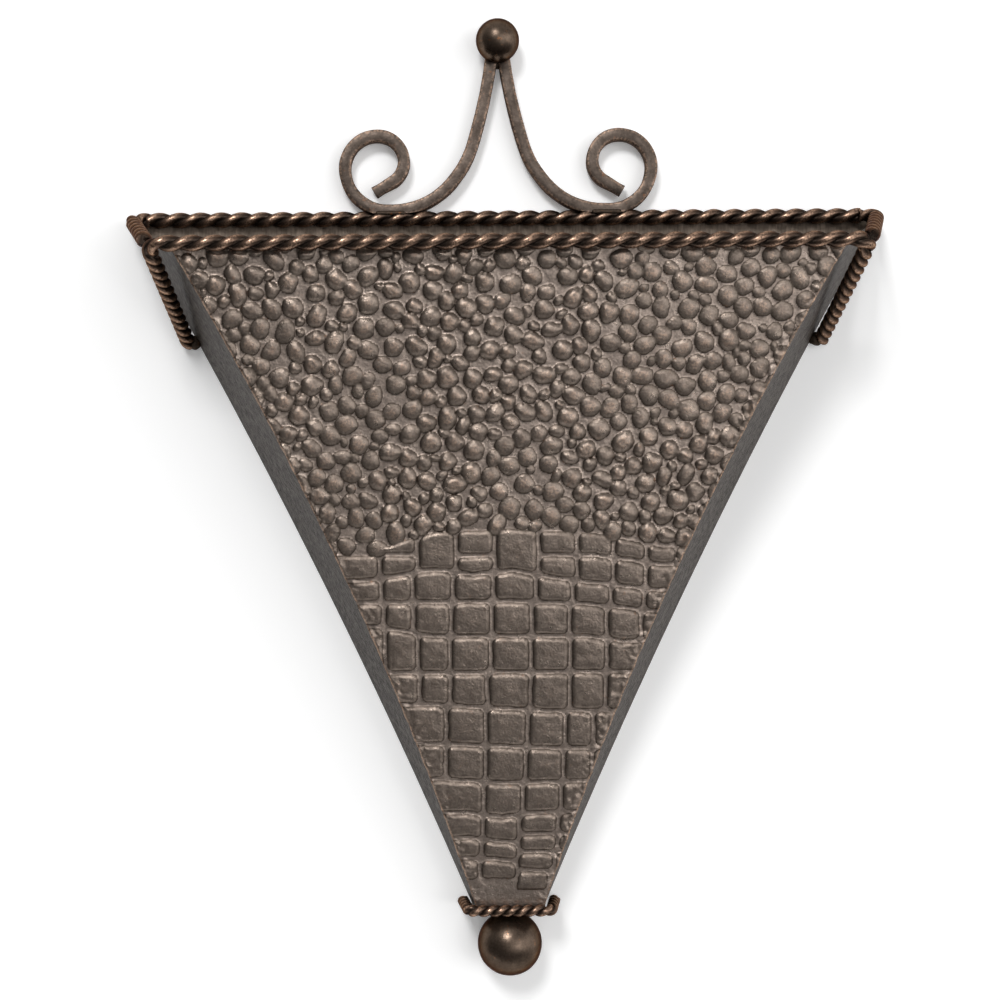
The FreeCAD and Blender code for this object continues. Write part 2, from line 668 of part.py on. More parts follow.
def bottom_ball():
    """Ball under the bottom plate, drilled for its stud."""
    ball = Part.makeSphere(BOTTOM_BALL_R, bottom_ball_centre)
    top = bottom_ball_centre + V(0, 0, BOTTOM_BALL_R - STUD_IN_BALL)
    return ball.cut(Part.makeCylinder(STUD_R + STUD_GAP, 2 * STUD_IN_BALL, top))


def bottom_ball_stud():
    """Stud from the ball through the plate, closed by a domed weld inside the pocket."""
    low = bottom_ball_centre.z + BOTTOM_BALL_R - STUD_IN_BALL
    pin = Part.makeCylinder(STUD_R, BODY_BOTTOM_Z + STUD_ABOVE_PLATE - low, V(0, ball_y, low))
    dome = Part.makeSphere(STUD_HEAD_R, V(0, ball_y, BODY_BOTTOM_Z))
    return pin.fuse(keep_above(dome, BODY_BOTTOM_Z)).removeSplitter()


def seam_tacks(place, circle, high, inset, pocket):
    """Tack welds inside the two long corners along one sheet."""
    tacks = []
    spacing = high / (TACKS_PER_SEAM - 1 + TACK_START + TACK_END)
    for side in (-1, 1):
        for number in range(TACKS_PER_SEAM):
            up = spacing * (number + TACK_START)
            spot = place(side * edge_x(circle, up, inset), up, SHEET)
            tacks.append(Part.makeSphere(TACK_R, spot).common(pocket))
    return group(tacks)


def side_skin(side, up):
    """Point on a side sheet's outer face beside the back sheet, and the direction into the pocket."""
    front_up_here = up / back_height * front_slope
    front_x = edge_x(front_circle, front_up_here, FRONT_OVERHANG)
    front = front_point(side * front_x, front_up_here, SHEET)
    below, here = [back_point(side * edge_x(back_circle, level), level, SHEET) for level in (up - TRIM, up)]
    return here, unit(here, front).cross(unit(below, here)).normalize() * side


def stay_welds():
    """Weld at each stay's foot, between the stay and the side sheet."""
    welds = []
    for side, foot in stay_feet.items():
        along = unit(front_corners[side], foot)
        rope = Part.makeCylinder(rope_r + 2 * NOTCH_GAP, 2 * STAY_FALL, foot - along * STAY_FALL, along)
        weld = Part.makeSphere(STAY_BEAD_R, foot - X_AXIS * (side * (rope_r + STAY_SIDE_GAP / 2)))
        skin, inwards = side_skin(side, foot_up)
        welds.append(largest(keep_below_plane(weld.cut(rope), skin - inwards * NOTCH_GAP, inwards)))
    return group(welds)


# ---------------------------------------------------------------- all pieces

right_side = right_side_panel()
sides = {1: right_side, -1: mirrored(right_side)}
pocket = hollow()
scrolls = {-1: scroll(-1), 1: scroll(1)}

write("front_panel", front_panel())
write("back_panel", back_panel())
write("left_side_panel", sides[-1])
write("right_side_panel", sides[1])
write("bottom_plate", bottom_plate())
write("back_rim_rope", back_rim_rope())
write("left_rim_rope", side_rim_rope(-1))
write("right_rim_rope", side_rim_rope(1))
write("front_rim_rope", front_rim_rope())
write("left_stay_rope", stay_rope(-1))
write("right_stay_rope", stay_rope(1))
write("collar_rope", collar_rope())
write("left_scroll", scrolls[-1])
write("right_scroll", scrolls[1])
write("scroll_welds", scroll_welds(scrolls))
write("top_ball", Part.makeSphere(TOP_BALL_R, top_ball_centre))
write("bottom_ball", bottom_ball())
write("bottom_ball_stud", bottom_ball_stud())
write("front_seam_tacks", seam_tacks(front_point, front_circle, front_slope, front_inset, pocket))
write("back_seam_tacks", seam_tacks(back_point, back_circle, back_height, SHEET, pocket))
write("stay_welds", stay_welds())
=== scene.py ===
import random
from math import atan2, ceil, cos, hypot, pi, radians, sin, sqrt, tan

import bmesh
import bpy
from mathutils import Matrix, Vector, kdtree, noise


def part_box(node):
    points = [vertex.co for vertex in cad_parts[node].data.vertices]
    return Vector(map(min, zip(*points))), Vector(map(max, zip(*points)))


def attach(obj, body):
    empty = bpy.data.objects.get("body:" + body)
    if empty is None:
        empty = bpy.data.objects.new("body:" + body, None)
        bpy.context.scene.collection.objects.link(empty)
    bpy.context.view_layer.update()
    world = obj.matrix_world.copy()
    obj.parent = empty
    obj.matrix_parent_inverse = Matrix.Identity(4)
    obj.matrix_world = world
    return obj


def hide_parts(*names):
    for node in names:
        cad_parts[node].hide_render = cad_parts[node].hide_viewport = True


bl_info = {
    "name": "Wall Planter",
    "version": (1, 0, 0),
    "blender": (4, 5, 0),
    "location": "View3D > Sidebar > Planter",
    "description": "Finishes the wall planter: stamped front sheet, twisted rods, scrolls, balls and welds",
    "category": "Add Mesh",
}

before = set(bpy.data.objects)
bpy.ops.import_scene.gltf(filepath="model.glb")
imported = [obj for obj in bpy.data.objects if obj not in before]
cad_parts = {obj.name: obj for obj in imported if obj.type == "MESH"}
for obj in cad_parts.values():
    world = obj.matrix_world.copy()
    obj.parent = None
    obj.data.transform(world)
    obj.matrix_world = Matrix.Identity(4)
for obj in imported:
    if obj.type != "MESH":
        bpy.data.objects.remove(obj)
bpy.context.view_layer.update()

MM = 0.001
X_AXIS, Y_AXIS, Z_AXIS = Vector((1, 0, 0)), Vector((0, 1, 0)), Vector((0, 0, 1))

# ------------------------------------------------------------ places taken from the solids

FRONT_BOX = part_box("front_panel")
BACK_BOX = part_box("back_panel")
REAR_ROPE_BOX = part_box("back_rim_rope")
FRONT_ROPE_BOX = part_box("front_rim_rope")
COLLAR_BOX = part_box("collar_rope")
TOP_BALL_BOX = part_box("top_ball")
BOTTOM_BALL_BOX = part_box("bottom_ball")

# Sheets
SHEET = BACK_BOX[1].y - BACK_BOX[0].y
BODY_BOTTOM_Z = BACK_BOX[0].z
FRONT_TOP_HALF = FRONT_BOX[1].x
FRONT_TOP = Vector((0, -88.0 * MM, 5.0 * MM))           # top edge of the front sheet's outer face
FRONT_FOOT = Vector((0, -28.0 * MM, BODY_BOTTOM_Z))     # bottom edge of the same face
FRONT_BOTTOM_HALF = 16.8 * MM
FRONT_BOW = 10.0 * MM                                   # how far its long edges bow inwards
FRONT_OVERHANG = 0.6 * MM                               # its raw edge stands this far past the side sheets

# Twisted rods
ROD_GAP = 0.06 * MM                                     # gap between the two rods of a rope
ROD_PRESS = 1.22                                        # how much thicker the rods look, pressed together
REAR_LAY = 21.5 * MM                                    # length of one full turn
FRONT_LAY = 22.1 * MM
STAY_LAY = 14.0 * MM
COLLAR_LAY = 11.6 * MM
ROPE_CLEAR = 0.4 * MM                                   # gap between a rope's cut end and its neighbour
STAY_JOINT_GAP = 0.8 * MM
REAR_BEND, FRONT_BEND, COLLAR_BEND = 8.0 * MM, 7.0 * MM, 4.6 * MM
REAR_CORNER_INSET = 1.8 * MM                            # rear corner inside the back sheet's corner
FRONT_CORNER_REACH = 9.0 * MM                           # front corner outside the front sheet's corner
STAY_FOOT = Vector((165.97, -4.08, -36.22)) * MM
COLLAR_FRONT = Vector((20.95, -31.43, -329.3)) * MM     # right front corner of the collar's centre line
COLLAR_END = Vector((23.98, -4.0, -329.3)) * MM         # its right end, just off the wall
COLLAR_TURN = 0.1

# Crest
CREST_X = (TOP_BALL_BOX[0].x + TOP_BALL_BOX[1].x) / 2
LEG_GAP = 0.1 * MM
LEG_LEAN = 8.0
LEG_BENDS = ((294.0, 9.0), (54.0, 29.0), (40.0, 44.0))  # (radius in mm, degrees), from the ball down
FOOT_FLAT = 2.7
CURL_BENDS = ((22.2, 90.0), (17.0, 90.0), (13.8, 90.0), (12.0, 60.0))
TIP_LENGTH = 11.0 * MM
TIP_TWIST = radians(14)
NOTCH_DEPTH = 3.2 * MM
TOUCH = 0.05 * MM                                       # gap where two pieces meet

front_up = (FRONT_TOP - FRONT_FOOT).normalized()
front_out = X_AXIS.cross(front_up)
front_slope = (FRONT_TOP - FRONT_FOOT).length


def middle(box):
    """Centre of a box."""
    return (box[0] + box[1]) / 2


class WallPlanterSizes(bpy.types.PropertyGroup):
    """Sizes that a user can change."""

    rod: bpy.props.FloatProperty(
        name="Rod", description="Diameter of the rods in the rim's ropes and the stays",
        default=4.0 * MM, unit="LENGTH")
    collar_rod: bpy.props.FloatProperty(
        name="Collar rod", description="Diameter of the rods in the collar",
        default=3.0 * MM, unit="LENGTH")
    bar: bpy.props.FloatProperty(
        name="Bar", description="Width of the scrolls' square bar", default=6.35 * MM, unit="LENGTH")
    relief_step: bpy.props.FloatProperty(
        name="Relief step", description="Spacing of the front sheet's mesh",
        default=0.81 * MM, unit="LENGTH")
    pebble_height: bpy.props.FloatProperty(
        name="Pebble height", description="Height of the stamped pebbles",
        default=2.1 * MM, unit="LENGTH")
    tile_height: bpy.props.FloatProperty(
        name="Tile height", description="Height of the stamped tiles", default=1.45 * MM, unit="LENGTH")


def srgb(code):
    """Linear colour of an sRGB hex code."""
    channels = [int(code[start:start + 2], 16) / 255 for start in (1, 3, 5)]
    return [c / 12.92 if c <= 0.04045 else ((c + 0.055) / 1.055) ** 2.4 for c in channels] + [1.0]


def colour(name, description, code):
    """Colour property with an sRGB hex default."""
    return bpy.props.FloatVectorProperty(
        name=name, description=description, subtype="COLOR", size=4, min=0, max=1, default=srgb(code))


class WallPlanterColours(bpy.types.PropertyGroup):
    """Colours of the patina."""

    ground: colour("Ground", "Patina on the open sheet between the stamped forms", "#998b81")
    # painted shade at the foot of the stamped forms and in the groove between the twisted rods
    crevice_shade: colour("Crevice", "Patina left at the foot of the forms", "#463d37")
    side: colour("Side", "Patina on the forms' sides", "#72675e")
    top: colour("Top", "Patina rubbed on the high spots", "#8a7d73")
    # also the colour of the painted glint along the twisted rods' outermost line
    copper: colour("Copper", "Metal rubbed bare on the edges", "#c8a58c")
    rope: colour("Rope", "Patina on the twisted rods", "#382e28")
    # partly rubbed patina, partly a painted highlight along the rods' outermost line
    rope_crown_wear_and_glint: colour("Rope crown", "Patina rubbed thin on the outside of the twisted rods", "#6f5a4d")
    plain: colour("Side sheet", "Thick patina on the side sheets", "#423c37")
    inside: colour("Back sheet", "Patina on the back sheet and the bottom plate", "#776b60")
    bar: colour("Bar", "Patina on the square bar", "#574d46")
    ball: colour("Ball", "Patina on the balls", "#5a4d43")
    weld: colour("Weld", "Weld metal", "#40362e")


# ------------------------------------------------------------ nodes and materials

def add(tree, kind, inputs=(), **settings):
    """Adds a node with its settings, and sets or links each of its inputs."""
    new = tree.nodes.new(kind)
    for name, value in settings.items():
        setattr(new, name, value)
    for socket, value in dict(inputs).items():
        if isinstance(value, bpy.types.NodeSocket):
            tree.links.new(value, new.inputs[socket])
        else:
            new.inputs[socket].default_value = value
    return new


def new_material(name):
    """Empty node material, its tree and its output node."""
    material = bpy.data.materials.new(name)
    material.use_nodes = True
    tree = material.node_tree
    tree.nodes.clear()
    return material, tree, tree.nodes.new("ShaderNodeOutputMaterial")


def patina(name, base, wear_and_glint_colour, wear_and_glint, metallic, roughness, grain, bump, fleck=0.0, stretch=1.0, lean=0.0, contrast=0.3, spread=0.2):
    """Antiqued metal. base and the wear maker take the tree and give a colour socket and a socket from 0 to 1 for
    the rubbed high spots, which on the twisted rods also stand for a painted glint. grain is the size of the
    blotches and bump the depth of the grain, both in metres.
    The pattern may be stretched along the piece, whose length leans from upright, and flecked with rust.
    contrast is how far the blotches depart from the colour, and spread how far the noise goes for that."""
    material, tree, output = new_material(name)
    place = add(tree, "ShaderNodeTexCoord")
    turned = add(tree, "ShaderNodeMapping", {"Vector": place.outputs["Object"], "Rotation": (0, lean, 0),
                                             "Scale": (1, 1, stretch)}, vector_type="TEXTURE")
    blotch = add(tree, "ShaderNodeTexNoise", {"Vector": turned.outputs[0], "Scale": 1 / grain,
                                              "Detail": 6.0, "Roughness": 0.62})
    fine = add(tree, "ShaderNodeTexNoise", {"Vector": turned.outputs[0], "Scale": 1 / GRAIN_SIZE,
                                            "Detail": 3.0, "Roughness": 0.65})
    shade = add(tree, "ShaderNodeMapRange", {"Value": blotch.outputs["Fac"], "From Min": 0.5 - spread, "From Max": 0.5 + spread,
                                             "To Min": 1 - contrast, "To Max": 1 + contrast})
    speckle = add(tree, "ShaderNodeMapRange", {"Value": fine.outputs["Fac"], "From Min": 0.35,
                                               "From Max": 0.65, "To Min": 0.82, "To Max": 1.16})
    darker = add(tree, "ShaderNodeMath", {0: shade.outputs[0], 1: speckle.outputs[0]}, operation="MULTIPLY")
    toned = add(tree, "ShaderNodeVectorMath", {0: base(tree), "Scale": darker.outputs[0]}, operation="SCALE")
    rubbed = add(tree, "ShaderNodeMapRange", {"Value": fine.outputs["Fac"], "From Min": 0.4, "From Max": 0.62})
    ragged = add(tree, "ShaderNodeMath", {0: wear_and_glint(tree), 1: rubbed.outputs[0]}, operation="MULTIPLY",
                 use_clamp=True)
    # on the twisted rods this copper mix is partly rubbed metal and partly a painted glint
    worn = add(tree, "ShaderNodeMix", {"Factor": ragged.outputs[0], 6: toned.outputs[0], 7: wear_and_glint_colour},
               data_type="RGBA")
    specks = add(tree, "ShaderNodeTexNoise", {"Vector": place.outputs["Object"], "Scale": 1 / SPECK_SPACING,
                                              "Detail": 5.0, "Roughness": 0.75})
    speck = add(tree, "ShaderNodeMapRange", {"Value": specks.outputs["Fac"], "From Min": 0.62,
                                             "From Max": 0.7, "To Max": fleck})
    final = add(tree, "ShaderNodeMix", {"Factor": speck.outputs[0], 6: worn.outputs[2], 7: srgb(RUST)},
                data_type="RGBA")
    rough = add(tree, "ShaderNodeMapRange", {"Value": blotch.outputs["Fac"], "From Min": 0.3, "From Max": 0.7,
                                             "To Min": roughness + 0.1, "To Max": roughness - 0.08})
    bumped = add(tree, "ShaderNodeBump", {"Height": fine.outputs["Fac"], "Strength": 1.0, "Distance": bump})
    shader = add(tree, "ShaderNodeBsdfPrincipled", {"Base Color": final.outputs[2], "Metallic": metallic,
                                                    "Roughness": rough.outputs[0],
                                                    "Specular Tint": srgb(SHEEN),
                                                    "Normal": bumped.outputs[0]})
    tree.links.new(shader.outputs[0], output.inputs["Surface"])
    return material


GRAIN_SIZE = 1.1 * MM               # hammered grain, drawn as coarse as it needs to show
SPECK_SPACING = 3.5 * MM
RUST = "#a4683c"
SHEEN = "#8f8379"                   # the patina dulls what it reflects at a glancing angle


def attribute(name, low, high):
    """Socket maker: a mesh attribute, spread from 0 at low to 1 at high."""
    def make(tree):
        value = add(tree, "ShaderNodeAttribute", attribute_name=name)
        return add(tree, "ShaderNodeMapRange", {"Value": value.outputs["Fac"], "From Min": low,
                                                "From Max": high}).outputs[0]
    return make


def between(colours, name, stops):
    """Socket maker: colours that follow one another as an attribute rises through the stops."""
    def make(tree):
        blend = colours[0]
        for after, low, high in zip(colours[1:], stops, stops[1:]):
            share = attribute(name, low, high)(tree)
            blend = add(tree, "ShaderNodeMix", {"Factor": share, 6: blend, 7: after},
                        data_type="RGBA").outputs[2]
        return blend
    return make


def plain_colour(value):
    """Socket maker: one colour all over."""
    def make(tree):
        return add(tree, "ShaderNodeRGB").outputs[0] if value is None else add(
            tree, "ShaderNodeMix", {"Factor": 0.0, 6: value, 7: value}, data_type="RGBA").outputs[2]
    return make


def nothing(tree):
    """Socket maker: no wear."""
    return add(tree, "ShaderNodeMath", {0: 0.0, 1: 0.0}).outputs[0]


def embossed_bronze(colours):
    """Sheet steel stamped with a hide pattern, with a bronze patina and painted shade at the foot of each form,
    rubbed back to a warm grey on the high spots and to bare copper-coloured metal on the cut edge."""
    # the second tone is painted shade at the foot of each form
    tones = between([colours.ground, colours.crevice_shade, colours.side, colours.top], "relief",
                    (0.0, 0.1, 0.4, 0.95))
    return patina("Embossed bronzed sheet", tones, colours.copper, attribute("rubbed", 0.0, 1.0),
                  0.85, 0.32, 6 * MM, 0.25 * MM, fleck=0.2)


def brushed_bronze(paint, copper, name, lean, contrast):
    """Plain steel sheet under a thick dull patina, wiped on along its length, so its short dark streaks
    run that way."""
    return patina(name, plain_colour(paint), copper, nothing,
                  0.25, 0.52, 2.4 * MM, 0.4 * MM, stretch=6.0, lean=lean, contrast=contrast, spread=0.1)


def twisted_bronze(colours):
    """Twisted steel rod with a nearly black bronze patina, with painted shade in the groove between its rods, and
    along their outermost line a lighter copper tone that is partly rubbed patina and partly a painted glint."""
    # the first tone is painted shade in the groove between the rods
    tones = between([colours.crevice_shade, colours.rope, colours.rope_crown_wear_and_glint], "crown", (0.1, 0.55, 1.0))
    # the last tone and the copper along the outermost line are partly rubbed, partly a painted highlight
    return patina("Twisted bronzed rod", tones, colours.copper, attribute("crown", 0.86, 1.04),
                  0.9, 0.3, 4 * MM, 0.05 * MM)


def forged_bronze(colours):
    """Square steel bar, forged and bronzed, worn to bare metal on its corners."""
    return patina("Forged bronzed bar", plain_colour(colours.bar), colours.copper,
                  attribute("corner", 0.5, 1.2), 0.85, 0.45, 5 * MM, 0.1 * MM, fleck=0.3)


def bronzed_ball(colours):
    """Turned steel ball with a satin bronze patina, rust specks and fine scratches."""
    return patina("Bronzed ball", plain_colour(colours.ball), colours.copper, nothing,
                  0.95, 0.32, 7 * MM, 0.06 * MM, fleck=0.6)


def brazed_weld(colours):
    """Lumpy brazing metal, brown with a little brass showing."""
    return patina("Brazed weld", plain_colour(colours.weld), colours.copper, nothing,
                  0.7, 0.5, 2 * MM, 0.15 * MM, fleck=0.5)


# ------------------------------------------------------------ pieces

def add_piece(bm, name, material, slot, *nodes, sharp=40):
    """Makes a bmesh a piece of the planter, in place of some of its solids."""
    mesh = bpy.data.meshes.new(name)
    bm.to_mesh(mesh)
    bm.free()
    mesh.materials.append(material)
    mesh.shade_smooth()
    mesh.set_sharp_from_angle(angle=radians(sharp))
    piece = bpy.data.objects.new(name, mesh)
    bpy.context.scene.collection.objects.link(piece)
    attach(piece, "root")
    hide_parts(*nodes)
    return piece


def dress(material, *nodes):
    """Gives solids that are shown as they are their material."""
    for node in nodes:
        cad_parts[node].data.materials.clear()
        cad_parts[node].data.materials.append(material)


def straight(start, end):
    """Straight piece of a route: its length, and its point and direction at a distance."""
    along = (end - start).normalized()
    return (end - start).length, lambda distance: (start + along * distance, along)


def bend(start, along, inside, radius, angle):
    """Bent piece of a route, which turns from along towards inside."""
    centre = start + inside * radius

    def at(distance):
        turn = distance / radius
        point = centre - inside * (radius * cos(turn)) + along * (radius * sin(turn))
        return point, along * cos(turn) + inside * sin(turn)

    return radius * angle, at


def corner_cut(before, corner, after, radius):
    """How far a bend of this radius starts before a corner."""
    return radius * tan((corner - before).angle(after - corner) / 2)


def route(points, radius):
    """Straight runs joined by tangent bends at the inner points."""
    pieces = []
    start = points[0]
    for before, corner, after in zip(points, points[1:], points[2:]):
        along, onwards = (corner - before).normalized(), (after - corner).normalized()
        cut = corner_cut(before, corner, after, radius)
        if (corner - along * cut - start).length > TOUCH:
            pieces.append(straight(start, corner - along * cut))
        inside = (onwards - along * along.dot(onwards)).normalized()
        pieces.append(bend(corner - along * cut, along, inside, radius, along.angle(onwards)))
        start = corner + onwards * cut
    if (points[-1] - start).length > TOUCH:
        pieces.append(straight(start, points[-1]))
    return pieces


def along_route(pieces, distance):
    """Point and direction at a distance along a route."""
    for length, at in pieces[:-1]:
        if distance <= length:
            return at(distance)
        distance -= length
    return pieces[-1][1](distance)


def rope(pieces, square, rod, lay, turns):
    """Two rods twisted left-handed round a straight axis, then laid along a flat route whose plane's
    normal is square. The attribute crown is 1 on the rods' outermost line and 0 level with their centres."""
    bm = bmesh.new()
    crown = bm.verts.layers.float.new("crown")
    length = sum(piece[0] for piece in pieces)
    steps = ceil(length / lay * ROPE_STEPS)
    outside = rod + ROD_GAP / 2
    rod = rod * ROD_PRESS
    orbit = outside - rod / 2
    for half_turn in (0.0, 0.5):
        angle = 2 * pi * (turns + half_turn)
        pitch = 2 * pi * orbit / lay
        start = Vector((0, orbit * cos(angle), orbit * sin(angle)))
        heading = Vector((1, pitch * sin(angle), -pitch * cos(angle)))
        ring = bmesh.ops.create_circle(
            bm, segments=ROD_SIDES, radius=rod / 2, cap_ends=True,
            matrix=Matrix.Translation(start) @ heading.to_track_quat("Z", "Y").to_matrix().to_4x4())
        face = ring["verts"][0].link_faces[0]
        bmesh.ops.spin(bm, geom=[face, *face.edges, *face.verts], cent=(0, 0, 0), axis=X_AXIS,
                       angle=-2 * pi * length / lay, dvec=(length / steps, 0, 0), steps=steps)
    for vert in bm.verts:
        distance, out, up = vert.co
        vert[crown] = max(0.0, (hypot(out, up) - orbit) / (outside - orbit))
        centre, along = along_route(pieces, distance)
        vert.co = centre + square.cross(along) * out + square * up
    bmesh.ops.recalc_face_normals(bm, faces=bm.faces)
    return bm


ROD_SIDES = 14
ROPE_STEPS = 22

rope_r = 4.0 * MM + ROD_GAP / 2
rear_rope = middle(REAR_ROPE_BOX)
rear_rope_half = REAR_ROPE_BOX[1].x + ROPE_CLEAR - 0.07 * MM
front_rope = Vector((0, FRONT_ROPE_BOX[0].y, FRONT_ROPE_BOX[1].z)) + Vector((0, 1, -1)) * rope_r
REAR_CORNER = Vector((BACK_BOX[1].x - REAR_CORNER_INSET, rear_rope.y, rear_rope.z))
FRONT_CORNER = Vector((FRONT_TOP_HALF + FRONT_CORNER_REACH, front_rope.y, front_rope.z))


def on_side(point, side):
    """A right-hand point, or its mirror image on the left."""
    return Vector((point.x * side, point.y, point.z))


def rim_square():
    """Normal of the plane of the rear and side ropes."""
    return X_AXIS.cross(rear_rope - front_rope).normalized()


def stay_square():
    """Normal of the plane of the front rope and the stays."""
    return (STAY_FOOT - FRONT_CORNER).cross(X_AXIS).normalized()


def front_route():
    """Route of the front rope, its two ends bent back towards the stays' feet."""
    cut = corner_cut(on_side(FRONT_CORNER, -1), FRONT_CORNER, STAY_FOOT, FRONT_BEND)
    ends = []
    for side in (-1, 1):
        corner, foot = on_side(FRONT_CORNER, side), on_side(STAY_FOOT, side)
        ends.append(corner + (foot - corner).normalized() * cut)
    return route([ends[0], on_side(FRONT_CORNER, -1), FRONT_CORNER, ends[1]], FRONT_BEND), cut


# ------------------------------------------------------------ stamped relief of the front sheet

PEBBLE_R = 4.9                      # the main pebbles, in mm, placed as in the solid
PEBBLE_PITCH = 19.0
PEBBLE_ROW = 16.5
PEBBLE_ROWS = 8
PEBBLE_LOW = 208.0
PEBBLE_SHIFT = 2.4
STAMP_RIM = 2.0
PEBBLE_SIZES = (5.4, 4.8, 4.5, 4.2, 4.0, 3.7, 3.4, 3.0, 2.6, 2.2)   # radii of the others, largest first
PEBBLE_TRIES = (60, 700, 2400, 4000, 4500, 4500, 4500, 4000, 2500, 1500)
PEBBLE_GAP = -0.6                   # gap between two pebbles, which overlap a little
PEBBLE_PRESS = 0.14                 # share of the pebbles that run into a neighbour
TILE_GAP = 2.4 * MM                 # width of the grooves between tiles
TILE_BEVEL = 1.3 * MM
TILE_PILLOW = 7.0 * MM              # how far in from its edges a tile swells
TILE_ROUND = 2.6 * MM               # rounding of a tile's corners
TILE_LEVELS = (                     # level grooves from the top tiles down, each through these places, in mm
    ((-75, 189.0), (-37, 199.6), (2, 200.8), (42, 198.8), (75, 191.3)),
    ((-75, 188.0), (-18, 187.1), (42, 186.8), (75, 181.8)),
    ((-72, 174.4), (-37, 180.1), (-18, 177.3), (2, 179.3), (24, 175.2), (75, 168.6)),
    ((-72, 163.2), (2, 163.8), (40, 161.9), (73, 158.1)),
    ((-65, 151.0), (-38, 146.0), (39, 145.5), (57, 142.8)),
    ((0, 127.2),),
    ((-40, 110.7), (19, 107.1)),
    ((-38, 90.3), (18, 87.7)),
    ((-34, 71.7), (-3, 69.5), (34, 70.1)),
    ((-22, 53.9), (-4, 51.3), (15, 53.8)),
    ((-20, 40.4), (4, 37.6), (5, 42.4)),
    ((-19, 29.8), (4, 27.8), (5, 32.8)),
    ((-5, 17.4), (4, 17.4), (5, 23.0)),
    ((3, 17.4), (4, 11.6)),
)
UPRIGHT_GROOVES = (                 # upright grooves of each row of tiles, in mm from the middle
    (-64.2, -45.5, -26.5, -7.2, 14.4, 33.5, 51.6, 67.7, 83.1),
    (-64.2, -45.5, -26.5, -7.2, 14.4, 33.5, 51.6, 67.7),
    (-63.5, -47.9, -27.9, -8.0, 13.2, 31.4, 50.4, 66.9),
    (-62.5, -47.9, -28.8, -8.8, 11.1, 30.0, 48.4, 65.5),
    (-62.1, -45.8, -29.7, -9.4, 10.7, 30.4, 48.7),
    (-44.9, -29.8, -11.1, 10.5, 30.1, 48.1),
    (-31.8, -12.0, 9.0, 27.9, 42.1),
    (-32.2, -12.3, 8.1, 27.0, 41.6),
    (-13.3, 6.6, 25.8),
    (-13.6, 4.8, 24.5),
    (-14.4, 4.3, 24.1),
    (-15.3, 3.6, 22.4),
    (0.5, 20.0),
)
TALL_TILES = (-36.0, 3.6)           # the tiles at these places reach down through two rows
RIM_FADE = 5.0 * MM                 # the sheet is flat under the rope and the collar


def smooth(low, high, value):
    """Smooth step from 0 at low to 1 at high."""
    share = min(1.0, max(0.0, (value - low) / (high - low)))
    return share * share * (3 - 2 * share)


def half_width(up):
    """Half width of the front sheet at a height up its slope: its long edges are arcs that bow inwards."""
    chord = hypot(FRONT_TOP_HALF - FRONT_BOTTOM_HALF, front_slope)
    radius = (chord * chord / 4 + FRONT_BOW * FRONT_BOW) / (2 * FRONT_BOW)
    centre_x = (FRONT_BOTTOM_HALF + FRONT_TOP_HALF) / 2 + front_slope / chord * (radius - FRONT_BOW)
    centre_up = front_slope / 2 - (FRONT_TOP_HALF - FRONT_BOTTOM_HALF) / chord * (radius - FRONT_BOW)
    return centre_x - sqrt(radius * radius - (up - centre_up) ** 2)


def level_up(level, x):
    """Height up the sheet of a level groove, at a place across the sheet, both in mm."""
    before = level[0]
    for after in level[1:]:
        if x < after[0]:
            share = max(0, (x - before[0]) / (after[0] - before[0]))
            return before[1] + share * (after[1] - before[1])
        before = after
    return before[1]


